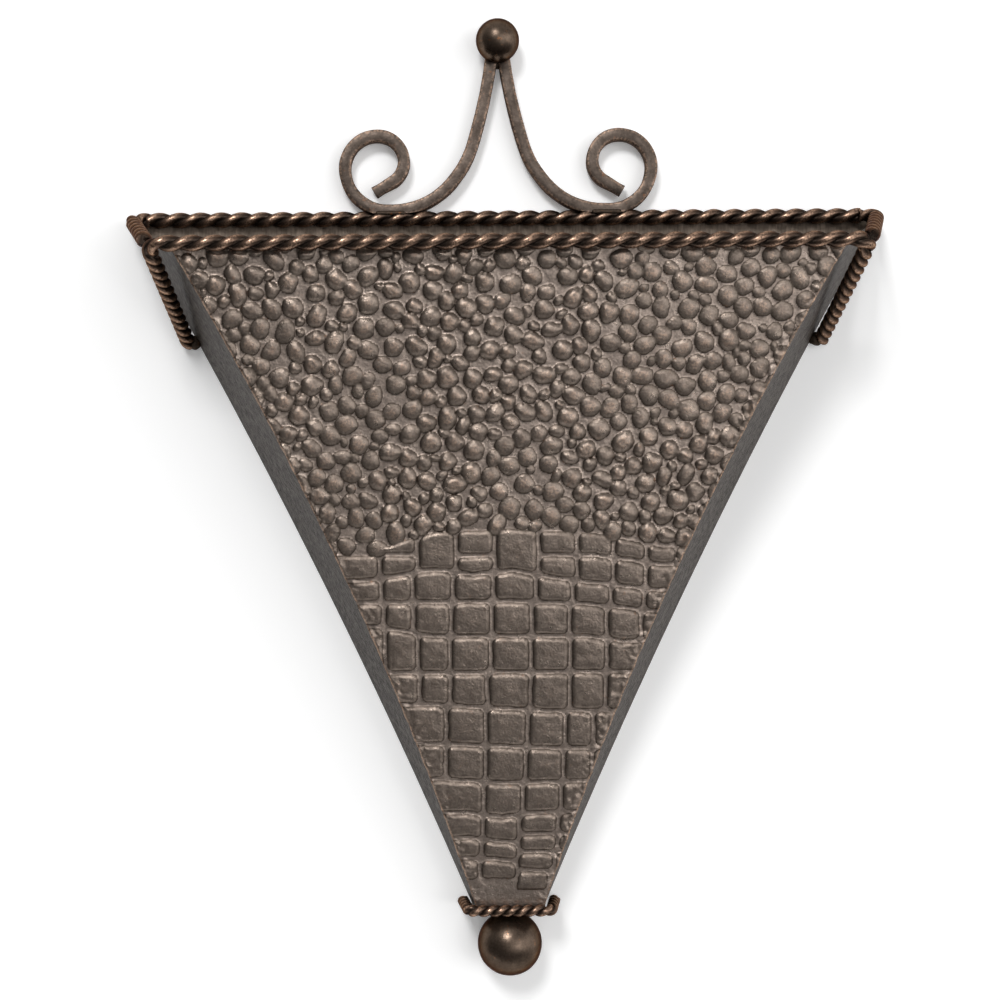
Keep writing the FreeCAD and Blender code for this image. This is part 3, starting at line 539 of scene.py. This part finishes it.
class Pebbles:
    """Round pebbles pressed into the sheet, each with its own size, stretch and lean."""

    def __init__(self, rng):
        self.cells = {}
        self.all = []
        self.place_main(rng)
        for size, tries in zip(PEBBLE_SIZES, PEBBLE_TRIES):
            for _ in range(tries):
                self.try_one(rng, size * MM * rng.uniform(0.95, 1.05))
        self.swell(rng)
        self.tree = kdtree.KDTree(len(self.all))
        for number, pebble in enumerate(self.all):
            self.tree.insert((pebble[0], pebble[1], 0), number)
        self.tree.balance()

    def keep(self, rng, x, up, size):
        """Notes a pebble, stretched and turned a little."""
        stretch = 1 + 0.4 * rng.random() ** 2
        pebble = (x, up, size, stretch, rng.uniform(0, pi), rng.uniform(0.8, 1.1))
        self.all.append(pebble)
        self.cells.setdefault((int(x // CELL), int(up // CELL)), []).append(pebble)

    def place_main(self, rng):
        """Main pebbles, in staggered rows and each a little off its even place."""
        half_row = ceil(FRONT_TOP_HALF / MM / PEBBLE_PITCH)
        for row in range(PEBBLE_ROWS):
            for column in range(-half_row, half_row + 1):
                number = row * 2 * half_row + column
                x = (column + row % 2 / 2) * PEBBLE_PITCH + PEBBLE_SHIFT * sin(2.4 * number)
                up = PEBBLE_LOW + row * PEBBLE_ROW + PEBBLE_SHIFT * cos(3.7 * number)
                if abs(x) + PEBBLE_R < half_width(up * MM) / MM - STAMP_RIM:
                    self.keep(rng, x * MM, up * MM, PEBBLE_R * MM)

    def try_one(self, rng, size):
        """Adds a pebble where there is room for one."""
        up = rng.uniform(170 * MM, front_slope + 4 * MM)
        x = rng.uniform(-1, 1) * (half_width(min(up, front_slope)) + 3 * MM)
        gap = -0.25 * size if rng.random() < PEBBLE_PRESS else PEBBLE_GAP * MM
        if tile_height(x, up - size * 0.8) > 0 or tile_height(x, up) > 0 or up < tile_top(x):
            return
        cell = (int(x // CELL), int(up // CELL))
        for near_x in (-1, 0, 1):
            for near_up in (-1, 0, 1):
                for other in self.cells.get((cell[0] + near_x, cell[1] + near_up), ()):
                    if hypot(other[0] - x, other[1] - up) < other[2] + size + gap:
                        return
        self.keep(rng, x, up, size)

    def swell(self, rng):
        """Grows each pebble until it nearly meets its neighbours or is as large as they come."""
        for number, (x, up, size, *rest) in enumerate(self.all):
            room = min(hypot(other[0] - x, other[1] - up) - other[2]
                       for other in self.all if other[0] != x) - PEBBLE_GAP * MM
            swollen = max(size, min(room, size * 1.6, PEBBLE_SIZES[0] * MM * rng.uniform(0.85, 1.05)))
            self.all[number] = (x, up, swollen, *rest)

    def height(self, x, up):
        """Height at a point, from 0 to about 1."""
        highest = 0.0
        for _, number, _ in self.tree.find_n((x, up, 0), 4):
            centre_x, centre_up, size, stretch, lean, tall = self.all[number]
            away_x, away_up = x - centre_x, up - centre_up
            along = (away_x * cos(lean) + away_up * sin(lean)) / sqrt(stretch)
            across = (away_up * cos(lean) - away_x * sin(lean)) * sqrt(stretch)
            reach = hypot(along, across) / size
            if reach < 1:
                dome = (1 - reach ** 2.4) ** 0.85 * tall * min(1.1, 0.5 + size / (8 * MM))
                highest = max(highest, dome)
        return highest


CELL = 12.0 * MM


def tile_top(x):
    """Upper edge of the tiles, at a place across the sheet."""
    place = x / MM
    left, right = UPRIGHT_GROOVES[0][0], UPRIGHT_GROOVES[0][-1]
    return level_up(TILE_LEVELS[0 if left < place < right else 1], place) * MM


def tile_height(x, up):
    """Height of the tiles at a point, from 0 to 1."""
    x, up = x / MM, up / MM
    last = len(UPRIGHT_GROOVES) - 1
    row = 0
    while row <= last and up < level_up(TILE_LEVELS[row + 1], x):
        row += 1
    if row > last:
        return 0.0
    above, below = level_up(TILE_LEVELS[row], x), level_up(TILE_LEVELS[row + 1], x)
    column = sum(1 for groove in UPRIGHT_GROOVES[row] if groove < x)
    ends = (-FAR, *UPRIGHT_GROOVES[row], FAR)
    left, right = ends[column], ends[column + 1]
    if row in (0, last) and (left == -FAR or right == FAR):
        return 0.0
    if row < 2 and any(left < place < right for place in TALL_TILES):
        above, below = level_up(TILE_LEVELS[0], x), level_up(TILE_LEVELS[2], x)
    gap_x = min(x - left, right - x) * MM - TILE_GAP / 2
    gap_up = min(above - up, up - below) * MM - TILE_GAP / 2
    if gap_x < TILE_ROUND and gap_up < TILE_ROUND:
        inside = TILE_ROUND - hypot(TILE_ROUND - gap_x, TILE_ROUND - gap_up)
    else:
        inside = min(gap_x, gap_up)
    return 0.85 * smooth(-0.3 * TILE_BEVEL, TILE_BEVEL, inside) ** 0.8 + 0.15 * smooth(0, TILE_PILLOW, inside)


FAR = 500.0


def relief(pebbles, sizes, x, up):
    """Height of the stamped relief at a point of the front sheet, its share of a whole form's height from
    0 to 1, and how much the point is rubbed bare."""
    place = Vector((x, up, 0))
    warp = noise.noise_vector(place / (6 * MM)) * (1.1 * MM)
    x_here, up_here = x + warp.x, up + warp.y
    stone = tile_height(x + 0.4 * warp.x, up + 0.4 * warp.y)
    pebble = pebbles.height(x_here, up_here)
    worn = 0.5 + 0.5 * smooth(-0.3, 0.15, noise.noise(place / (50 * MM) + Vector((3, 1, 5))) - 2.2 * x * up)
    height = max(stone * sizes.tile_height, pebble * worn * sizes.pebble_height)
    share = max(0.85 * stone, pebble)
    dent = noise.noise(place / (3.2 * MM)) * 0.13 + noise.noise(place / (11 * MM)) * 0.16
    crumple = smooth(10 * MM, 2 * MM, half_width(up) - abs(x)) * (0.7 + 0.3 * (x > 0))
    crease = abs(noise.noise(place / (4.5 * MM) + Vector((9, 4, 2)))) * 2
    height = height * (1 - 0.6 * crumple) + dent * MM + crumple * (crease * 1.1 - 0.1) * MM
    fade = smooth(0.0, 1.0 * MM, half_width(up) - abs(x))
    fade *= smooth(RIM_FADE - 1.5 * MM, RIM_FADE + MM, front_slope - up) * smooth(RIM_FADE, RIM_FADE + 2 * MM, up)
    rubbed = smooth(1.2 * MM, 0.2 * MM, half_width(up) - abs(x)) + 0.3 * smooth(0.8, 1.0, share)
    return min(height, 2.2 * MM) * fade, share, min(1.0, rubbed)


EDGE_RAG = 0.7 * MM                 # how far the cut edge wanders inwards


def side_sign(x):
    """Side of the middle that a point lies on."""
    return 1 if x > 0 else -1


def front_sheet(sizes):
    """Front sheet with its relief: an even grid, cut to the outline and stamped, with a flat back."""
    bm = bmesh.new()
    share_layer = bm.verts.layers.float.new("relief")
    rubbed_layer = bm.verts.layers.float.new("rubbed")
    columns = ceil(2 * FRONT_TOP_HALF / sizes.relief_step)
    rows = ceil(front_slope / sizes.relief_step)
    bmesh.ops.create_grid(bm, x_segments=columns, y_segments=rows, size=0.5)
    bmesh.ops.scale(bm, verts=bm.verts, vec=(2 * FRONT_TOP_HALF, front_slope, 1))
    bmesh.ops.translate(bm, verts=bm.verts, vec=(0, front_slope / 2, 0))
    for side in (-1, 1):
        slant = Vector((side * front_slope, -(FRONT_TOP_HALF - FRONT_BOTTOM_HALF), 0))
        bmesh.ops.bisect_plane(bm, geom=[*bm.verts, *bm.edges, *bm.faces], dist=1e-6,
                               plane_co=(side * FRONT_BOTTOM_HALF, 0, 0), plane_no=slant, clear_outer=True)
    pebbles = Pebbles(random.Random(11))
    for vert in bm.verts:
        up = vert.co.y
        straight_half = FRONT_BOTTOM_HALF + (FRONT_TOP_HALF - FRONT_BOTTOM_HALF) * up / front_slope
        x = vert.co.x * half_width(up) / straight_half
        height, vert[share_layer], vert[rubbed_layer] = relief(pebbles, sizes, x, up)
        ragged = noise.noise((side_sign(x) * 3, up / (6 * MM), 0)) * 0.5 + 0.5
        x -= side_sign(x) * ragged * EDGE_RAG * smooth(4 * MM, 0.0, half_width(up) - abs(x))
        vert.co = FRONT_FOOT + X_AXIS * x + front_up * up + front_out * height
    rim = [edge for edge in bm.edges if edge.is_boundary]
    walls = bmesh.ops.extrude_edge_only(bm, edges=rim)
    inner = [item for item in walls["geom"] if isinstance(item, bmesh.types.BMVert)]
    bmesh.ops.translate(bm, verts=inner, vec=front_out * -SHEET)
    bmesh.ops.contextual_create(bm, geom=[edge for edge in bm.edges if edge.is_boundary])
    bmesh.ops.recalc_face_normals(bm, faces=bm.faces)
    return bm


# ------------------------------------------------------------ scrolls

def scroll(sizes, side):
    """Square bar bent from the ball down to its foot on the rear rope and up into a curl."""
    bm = bmesh.new()
    corner_layer = bm.verts.layers.float.new("corner")
    half = sizes.bar / 2
    foot_z = rear_rope.z + rope_r - NOTCH_DEPTH + half
    u, z, heading = 0.0, 0.0, radians(LEG_LEAN - 90)
    for radius, degrees in LEG_BENDS:
        later = heading + radians(degrees)
        u += radius * MM * (sin(later) - sin(heading))
        z += radius * MM * (cos(heading) - cos(later))
        heading = later
    heading = radians(LEG_LEAN - 90)
    point = Vector(((half + LEG_GAP / 2) / cos(radians(LEG_LEAN)), rear_rope.y, foot_z - z))
    cap = bmesh.ops.create_grid(bm, x_segments=4, y_segments=4, size=half)["verts"]
    for vert in cap:
        lone = [abs(value) > 0.9 * half for value in vert.co.xy]
        spread = [1.0 if abs(value) > 0.9 * half else 1.66 for value in vert.co.xy]
        vert.co.x *= spread[0]
        vert.co.y *= spread[1]
        if all(lone):
            vert.co *= 0.93
        near = max(0.0, min(abs(vert.co.x), abs(vert.co.y)) / half)
        vert[corner_layer] = near if near > 0.5 else 0.0
    away = Vector((sin(heading), 0, -cos(heading)))
    along = Vector((cos(heading), 0, sin(heading)))
    turn = Matrix((away, -Y_AXIS, along)).transposed().to_4x4()
    bmesh.ops.transform(bm, matrix=Matrix.Translation(point) @ turn, verts=cap)
    last = [*bm.verts, *bm.edges, *bm.faces]
    for radius, degrees in (*LEG_BENDS, (0.0, FOOT_FLAT), *CURL_BENDS):
        along = Vector((cos(heading), 0, sin(heading)))
        if radius:
            inside = Vector((-sin(heading), 0, cos(heading)))
            centre = point + inside * radius * MM
            steps = max(2, ceil(radians(degrees) * radius * MM / min(RING_STEP, radius * MM / 9)))
            done = bmesh.ops.spin(bm, geom=last, cent=centre, axis=-Y_AXIS, angle=radians(degrees),
                                  steps=steps)
            last = done["geom_last"]
            heading += radians(degrees)
            point = centre - Vector((-sin(heading), 0, cos(heading))) * radius * MM
        else:
            last, point = push(bm, last, point, along * degrees * MM, 1, 0.0)
    along = Vector((cos(heading), 0, sin(heading)))
    push(bm, last, point, along * TIP_LENGTH, 6, TIP_TWIST)
    bm.normal_update()
    for vert in bm.verts:
        vert.co += vert.normal * (noise.noise(vert.co / (7 * MM)) * FORGE_MARK)
    ball = middle(TOP_BALL_BOX) - X_AXIS * CREST_X
    ball_r = (TOP_BALL_BOX[1].z - TOP_BALL_BOX[0].z) / 2 + TOUCH
    notch_r = rope_r + TOUCH
    start_heading = Vector((cos(radians(LEG_LEAN - 90)), 0, sin(radians(LEG_LEAN - 90))))
    for vert in bm.verts:
        to_ball = vert.co - ball
        if to_ball.length < ball_r:
            reach = to_ball.dot(start_heading)
            vert.co += start_heading * (sqrt(reach * reach + ball_r ** 2 - to_ball.length_squared) - reach)
        depth, rise = vert.co.y - rear_rope.y, vert.co.z - rear_rope.z
        if hypot(depth, rise) < notch_r:
            vert.co.z = rear_rope.z + sqrt(notch_r ** 2 - depth ** 2)
        vert.co.x = max(vert.co.x, LEG_GAP / 2)
    bmesh.ops.scale(bm, verts=bm.verts, vec=(side, 1, 1))
    bmesh.ops.translate(bm, verts=bm.verts, vec=(CREST_X, 0, 0))
    bmesh.ops.recalc_face_normals(bm, faces=bm.faces)
    return bm


RING_STEP = 4.0 * MM
FORGE_MARK = 0.16 * MM


def push(bm, last, point, way, steps, twist):
    """Pushes an end of a bar on in a straight line, twisting it a little, and gives its new end."""
    for _ in range(steps):
        grown = bmesh.ops.extrude_face_region(bm, geom=last)
        last = grown["geom"]
        verts = [item for item in last if isinstance(item, bmesh.types.BMVert)]
        point = point + way / steps
        bmesh.ops.translate(bm, verts=verts, vec=way / steps)
        bmesh.ops.rotate(bm, verts=verts, cent=point, matrix=Matrix.Rotation(twist / steps, 3, way))
    return last, point


# ------------------------------------------------------------ balls and welds

def dented_ball(centre, radius, seed):
    """Ball with the shallow dents of a forging, none of which stands out past its radius."""
    bm = bmesh.new()
    bmesh.ops.create_icosphere(bm, subdivisions=6, radius=radius)
    for vert in bm.verts:
        dent = 0.5 + 0.5 * noise.noise(vert.co / (9 * MM) + Vector((seed, 0, 0)))
        vert.co *= 1 - dent * 0.18 * MM / radius
    bmesh.ops.translate(bm, verts=bm.verts, vec=centre)
    return bm


def stay_lumps():
    """Lump of weld metal at each stay's foot, between its cut end and the side sheet."""
    bm = bmesh.new()
    for side in (-1, 1):
        foot = on_side(STAY_FOOT, side) - X_AXIS * (side * STAY_LUMP_IN)
        lump = bmesh.ops.create_icosphere(bm, subdivisions=4, radius=STAY_LUMP_R)["verts"]
        for vert in lump:
            vert.co *= 1 + 0.22 * noise.noise(vert.co / (3 * MM) + Vector((side * 4, 0, 0)))
        bmesh.ops.scale(bm, verts=lump, vec=(1.25, 1.0, 1.2))
        bmesh.ops.translate(bm, verts=lump, vec=foot)
    return bm


STAY_LUMP_R = 3.0 * MM
STAY_LUMP_IN = 3.2 * MM             # from the stay's foot towards the sheet


# ------------------------------------------------------------ operators

class PLANTER_OT_front_sheet(bpy.types.Operator):
    """Makes the stamped front sheet"""

    bl_idname = "planter.front_sheet"
    bl_label = "Front sheet"

    def execute(self, context):
        material = embossed_bronze(context.scene.planter_colours)
        bm = front_sheet(context.scene.planter_sizes)
        add_piece(bm, "stamped_front_sheet", material, "embossed_sheet", "front_panel", sharp=60)
        return {"FINISHED"}


class PLANTER_OT_plain_sheets(bpy.types.Operator):
    """Finishes the side sheets, the back sheet and the bottom plate"""

    bl_idname = "planter.plain_sheets"
    bl_label = "Plain sheets"

    def execute(self, context):
        colours = context.scene.planter_colours
        lean = atan2(FRONT_TOP_HALF - FRONT_BOTTOM_HALF, front_slope)
        for side, word in ((1, "left"), (-1, "right")):
            sheet = brushed_bronze(colours.plain, colours.copper, f"Brushed {word} sheet", side * lean, 0.5)
            dress(sheet, f"{word}_side_panel")
        dress(brushed_bronze(colours.inside, colours.copper, "Brushed back sheet", 0.0, 0.2),
              "back_panel", "bottom_plate")
        return {"FINISHED"}


class PLANTER_OT_ropes(bpy.types.Operator):
    """Makes the twisted ropes of the rim, the stays and the collar"""

    bl_idname = "planter.ropes"
    bl_label = "Twisted ropes"

    def execute(self, context):
        sizes = context.scene.planter_sizes
        material = twisted_bronze(context.scene.planter_colours)
        ends = [Vector((side * (rear_rope_half - ROPE_CLEAR), rear_rope.y, rear_rope.z)) for side in (-1, 1)]
        back = rope([straight(*ends)], rim_square(), sizes.rod, REAR_LAY, -ROPE_CLEAR / REAR_LAY)
        add_piece(back, "twisted_back_rope", material, "twisted_rod", "back_rim_rope")
        pieces, cut = front_route()
        front_length = sum(piece[0] for piece in pieces)
        front = rope(pieces, stay_square(), sizes.rod, FRONT_LAY, 0.0)
        add_piece(front, "twisted_front_rope", material, "twisted_rod", "front_rim_rope")
        for side, word in ((-1, "left"), (1, "right")):
            rear, corner = on_side(REAR_CORNER, side), on_side(FRONT_CORNER, side)
            foot = on_side(STAY_FOOT, side)
            back_way, stay_way = (rear - corner).normalized(), (foot - corner).normalized()
            spread = back_way.angle(stay_way)
            short = (rope_r * (1 + cos(spread)) + ROPE_CLEAR) / sin(spread)
            start = Vector((side * rear_rope_half, rear.y, rear.z))
            pieces = route([start, rear, corner + back_way * short], REAR_BEND)
            turns = 0.5 if side < 0 else -2 * rear_rope_half / REAR_LAY
            rim = rope(pieces, rim_square(), sizes.rod, REAR_LAY, turns)
            add_piece(rim, f"twisted_{word}_rope", material, "twisted_rod", f"{word}_rim_rope")
            turns = 0.5 if side < 0 else -front_length / FRONT_LAY
            stay = rope([straight(corner + stay_way * (cut + STAY_JOINT_GAP), foot)], stay_square(),
                        sizes.rod, STAY_LAY, turns)
            add_piece(stay, f"twisted_{word}_stay", material, "twisted_rod", f"{word}_stay_rope")
        points = [on_side(COLLAR_END, -1), on_side(COLLAR_FRONT, -1), COLLAR_FRONT, COLLAR_END]
        collar = rope(route(points, COLLAR_BEND), Z_AXIS, sizes.collar_rod, COLLAR_LAY, COLLAR_TURN)
        add_piece(collar, "twisted_collar", material, "twisted_rod", "collar_rope")
        return {"FINISHED"}


class PLANTER_OT_crest(bpy.types.Operator):
    """Makes the two scrolls and their welds"""

    bl_idname = "planter.crest"
    bl_label = "Crest"

    def execute(self, context):
        colours = context.scene.planter_colours
        material = forged_bronze(colours)
        for side, word in ((-1, "left"), (1, "right")):
            bm = scroll(context.scene.planter_sizes, side)
            add_piece(bm, f"forged_{word}_scroll", material, "square_bar", f"{word}_scroll")
        weld = brazed_weld(colours)
        dress(weld, "scroll_welds", "front_seam_tacks", "back_seam_tacks")
        add_piece(stay_lumps(), "brazed_stay_welds", weld, "weld_metal", "stay_welds")
        return {"FINISHED"}


class PLANTER_OT_balls(bpy.types.Operator):
    """Makes the two balls and finishes the lower one's stud"""

    bl_idname = "planter.balls"
    bl_label = "Balls"

    def execute(self, context):
        material = bronzed_ball(context.scene.planter_colours)
        for name, node, box, seed in (("top_bronze_ball", "top_ball", TOP_BALL_BOX, 2.0),
                                      ("bottom_bronze_ball", "bottom_ball", BOTTOM_BALL_BOX, 5.0)):
            radius = (box[1].x - box[0].x) / 2
            centre = Vector((middle(box).x, middle(box).y, box[0].z + radius))
            add_piece(dented_ball(centre, radius, seed), name, material, "ball_steel", node)
        dress(material, "bottom_ball_stud")
        return {"FINISHED"}


CAMERA = Vector((-26.0, -1012.0, -120.0)) * MM
LENS_PIXELS = 1922                  # focal length in pixels of a 1000-pixel-wide image
SENSOR = 36.0                       # mm
CAMERA_SHIFT = 0.0435
CAMERA_DROP = 0.001
CAMERA_ROLL = radians(-0.4)
WALL_GAP = 0.3 * MM


def painted_wall():
    """Matt white wall paint, lit up to white for the camera and in reflections except where the planter
    shades it, and see-through from behind."""
    material, tree, output = new_material("Matt white wall")
    paint = add(tree, "ShaderNodeBsdfDiffuse", {"Color": srgb("#f0f0f0")})
    bright = add(tree, "ShaderNodeBsdfDiffuse", {"Color": srgb("#ffffff")})
    glow = add(tree, "ShaderNodeEmission", {"Color": (1, 1, 1, 1), "Strength": WALL_GLOW})
    lit = add(tree, "ShaderNodeAddShader", {0: bright.outputs[0], 1: glow.outputs[0]})
    path = add(tree, "ShaderNodeLightPath")
    seen = add(tree, "ShaderNodeMath", {0: path.outputs["Is Camera Ray"], 1: path.outputs["Is Glossy Ray"]},
               operation="MAXIMUM")
    shown = add(tree, "ShaderNodeMixShader", {0: seen.outputs[0], 1: paint.outputs[0], 2: lit.outputs[0]})
    clear = add(tree, "ShaderNodeBsdfTransparent")
    side = add(tree, "ShaderNodeNewGeometry")
    both = add(tree, "ShaderNodeMixShader", {0: side.outputs["Backfacing"], 1: shown.outputs[0],
                                             2: clear.outputs[0]})
    tree.links.new(both.outputs[0], output.inputs["Surface"])
    return material


WALL_GLOW = 0.14
FLOOR_DEPTH = 1.2                   # so short that the sheet mirrors the dim room beyond it
ROOM, CEILING, SOFTBOX = 0.12, 0.82, 2.4    # light from the room, from above and from the softbox
SOFTBOX_EDGES = (                   # the softbox stands in front and to the right: (axis, dark at, full at)
    ("X", -0.45, 0.45),
    ("Z", -0.42, -0.08),
    ("Z", 0.5, 0.2),
)


def backdrop(name, material, width, height, matrix):
    """Flat sheet of the stage."""
    bm = bmesh.new()
    bmesh.ops.create_grid(bm, x_segments=1, y_segments=1, size=0.5)
    bmesh.ops.scale(bm, verts=bm.verts, vec=(width, height, 1))
    bmesh.ops.transform(bm, matrix=matrix, verts=bm.verts)
    mesh = bpy.data.meshes.new(name)
    bm.to_mesh(mesh)
    bm.free()
    mesh.materials.append(material)
    sheet = bpy.data.objects.new(name, mesh)
    bpy.context.scene.collection.objects.link(sheet)


def lamp(name, place, target, size, power):
    """Square soft lamp that faces a point."""
    data = bpy.data.lights.new(name, "AREA")
    data.size, data.energy = size, power
    light = bpy.data.objects.new(name, data)
    light.location = place
    light.rotation_euler = (Vector(target) - Vector(place)).to_track_quat("-Z", "Y").to_euler()
    bpy.context.scene.collection.objects.link(light)


class PLANTER_OT_stage(bpy.types.Operator):
    """Makes the wall, the floor, the lamps and the camera"""

    bl_idname = "planter.stage"
    bl_label = "Stage"

    def execute(self, context):
        scene = context.scene
        material = painted_wall()
        backdrop("wall", material, 6, 5.2, Matrix.Translation((0, WALL_GAP, 0.2)) @ Matrix.Rotation(pi / 2, 4, "X"))
        backdrop("floor", material, 6, FLOOR_DEPTH,
                 Matrix.Translation((0, WALL_GAP - FLOOR_DEPTH / 2, -2.4)))
        lamp("key", (-0.8, -3.2, 2.0), (0, 0, -0.1), 1.0, 72)
        lamp("low_glint", (0.54, -1.08, -0.39), (0, 0, -0.2), 0.15, 0.6)
        world = bpy.data.worlds.new("Pale room")
        world.use_nodes = True
        tree = world.node_tree
        tree.nodes.clear()
        place = add(tree, "ShaderNodeTexCoord")
        way = add(tree, "ShaderNodeSeparateXYZ", {"Vector": place.outputs["Generated"]})
        box = None
        for axis, dark, bright in SOFTBOX_EDGES:
            edge = add(tree, "ShaderNodeMapRange", {"Value": way.outputs[axis], "From Min": dark,
                                                    "From Max": bright}, interpolation_type="SMOOTHSTEP")
            box = edge if box is None else add(tree, "ShaderNodeMath", {0: box.outputs[0], 1: edge.outputs[0]},
                                               operation="MULTIPLY")
        top = add(tree, "ShaderNodeMapRange", {"Value": way.outputs["Z"], "From Min": 0.1, "From Max": 1.0,
                                               "To Min": ROOM, "To Max": CEILING})
        soft = add(tree, "ShaderNodeMath", {0: box.outputs[0], 1: SOFTBOX, 2: top.outputs[0]},
                   operation="MULTIPLY_ADD")
        path = add(tree, "ShaderNodeLightPath")
        seen = add(tree, "ShaderNodeMix", {"Factor": path.outputs["Is Camera Ray"], 2: soft.outputs[0], 3: 1.0})
        sky = add(tree, "ShaderNodeBackground", {"Strength": seen.outputs[0]})
        add(tree, "ShaderNodeOutputWorld", {"Surface": sky.outputs[0]})
        scene.world = world
        data = bpy.data.cameras.new("camera")
        data.sensor_width = SENSOR
        data.lens = SENSOR * LENS_PIXELS / 1000
        data.shift_x, data.shift_y = CAMERA_SHIFT, CAMERA_DROP
        camera = bpy.data.objects.new("camera", data)
        camera.location = CAMERA
        camera.rotation_euler = (Matrix.Rotation(pi / 2, 3, "X") @ Matrix.Rotation(CAMERA_ROLL, 3, "Z")).to_euler()
        scene.collection.objects.link(camera)
        scene.camera = camera
        scene.view_settings.view_transform = "Standard"
        return {"FINISHED"}


OPERATORS = (PLANTER_OT_front_sheet, PLANTER_OT_plain_sheets, PLANTER_OT_ropes, PLANTER_OT_crest,
             PLANTER_OT_balls, PLANTER_OT_stage)


class PLANTER_PT_panel(bpy.types.Panel):
    """Lists the planter's pieces and its sizes"""

    bl_idname = "PLANTER_PT_panel"
    bl_label = "Wall planter"
    bl_space_type = "VIEW_3D"
    bl_region_type = "UI"
    bl_category = "Planter"

    def draw(self, context):
        for group in (context.scene.planter_sizes, context.scene.planter_colours):
            for name in type(group).__annotations__:
                self.layout.prop(group, name)
        for operator in OPERATORS:
            self.layout.operator(operator.bl_idname)


CLASSES = (WallPlanterSizes, WallPlanterColours, *OPERATORS, PLANTER_PT_panel)


def register():
    for item in CLASSES:
        bpy.utils.register_class(item)
    bpy.types.Scene.planter_sizes = bpy.props.PointerProperty(type=WallPlanterSizes)
    bpy.types.Scene.planter_colours = bpy.props.PointerProperty(type=WallPlanterColours)


def unregister():
    del bpy.types.Scene.planter_sizes
    del bpy.types.Scene.planter_colours
    for item in reversed(CLASSES):
        bpy.utils.unregister_class(item)


def main():
    """Makes every piece and the stage."""
    register()
    for operator in OPERATORS:
        group, name = operator.bl_idname.split(".")
        getattr(getattr(bpy.ops, group), name)()


if __name__ == "__main__":
    main()
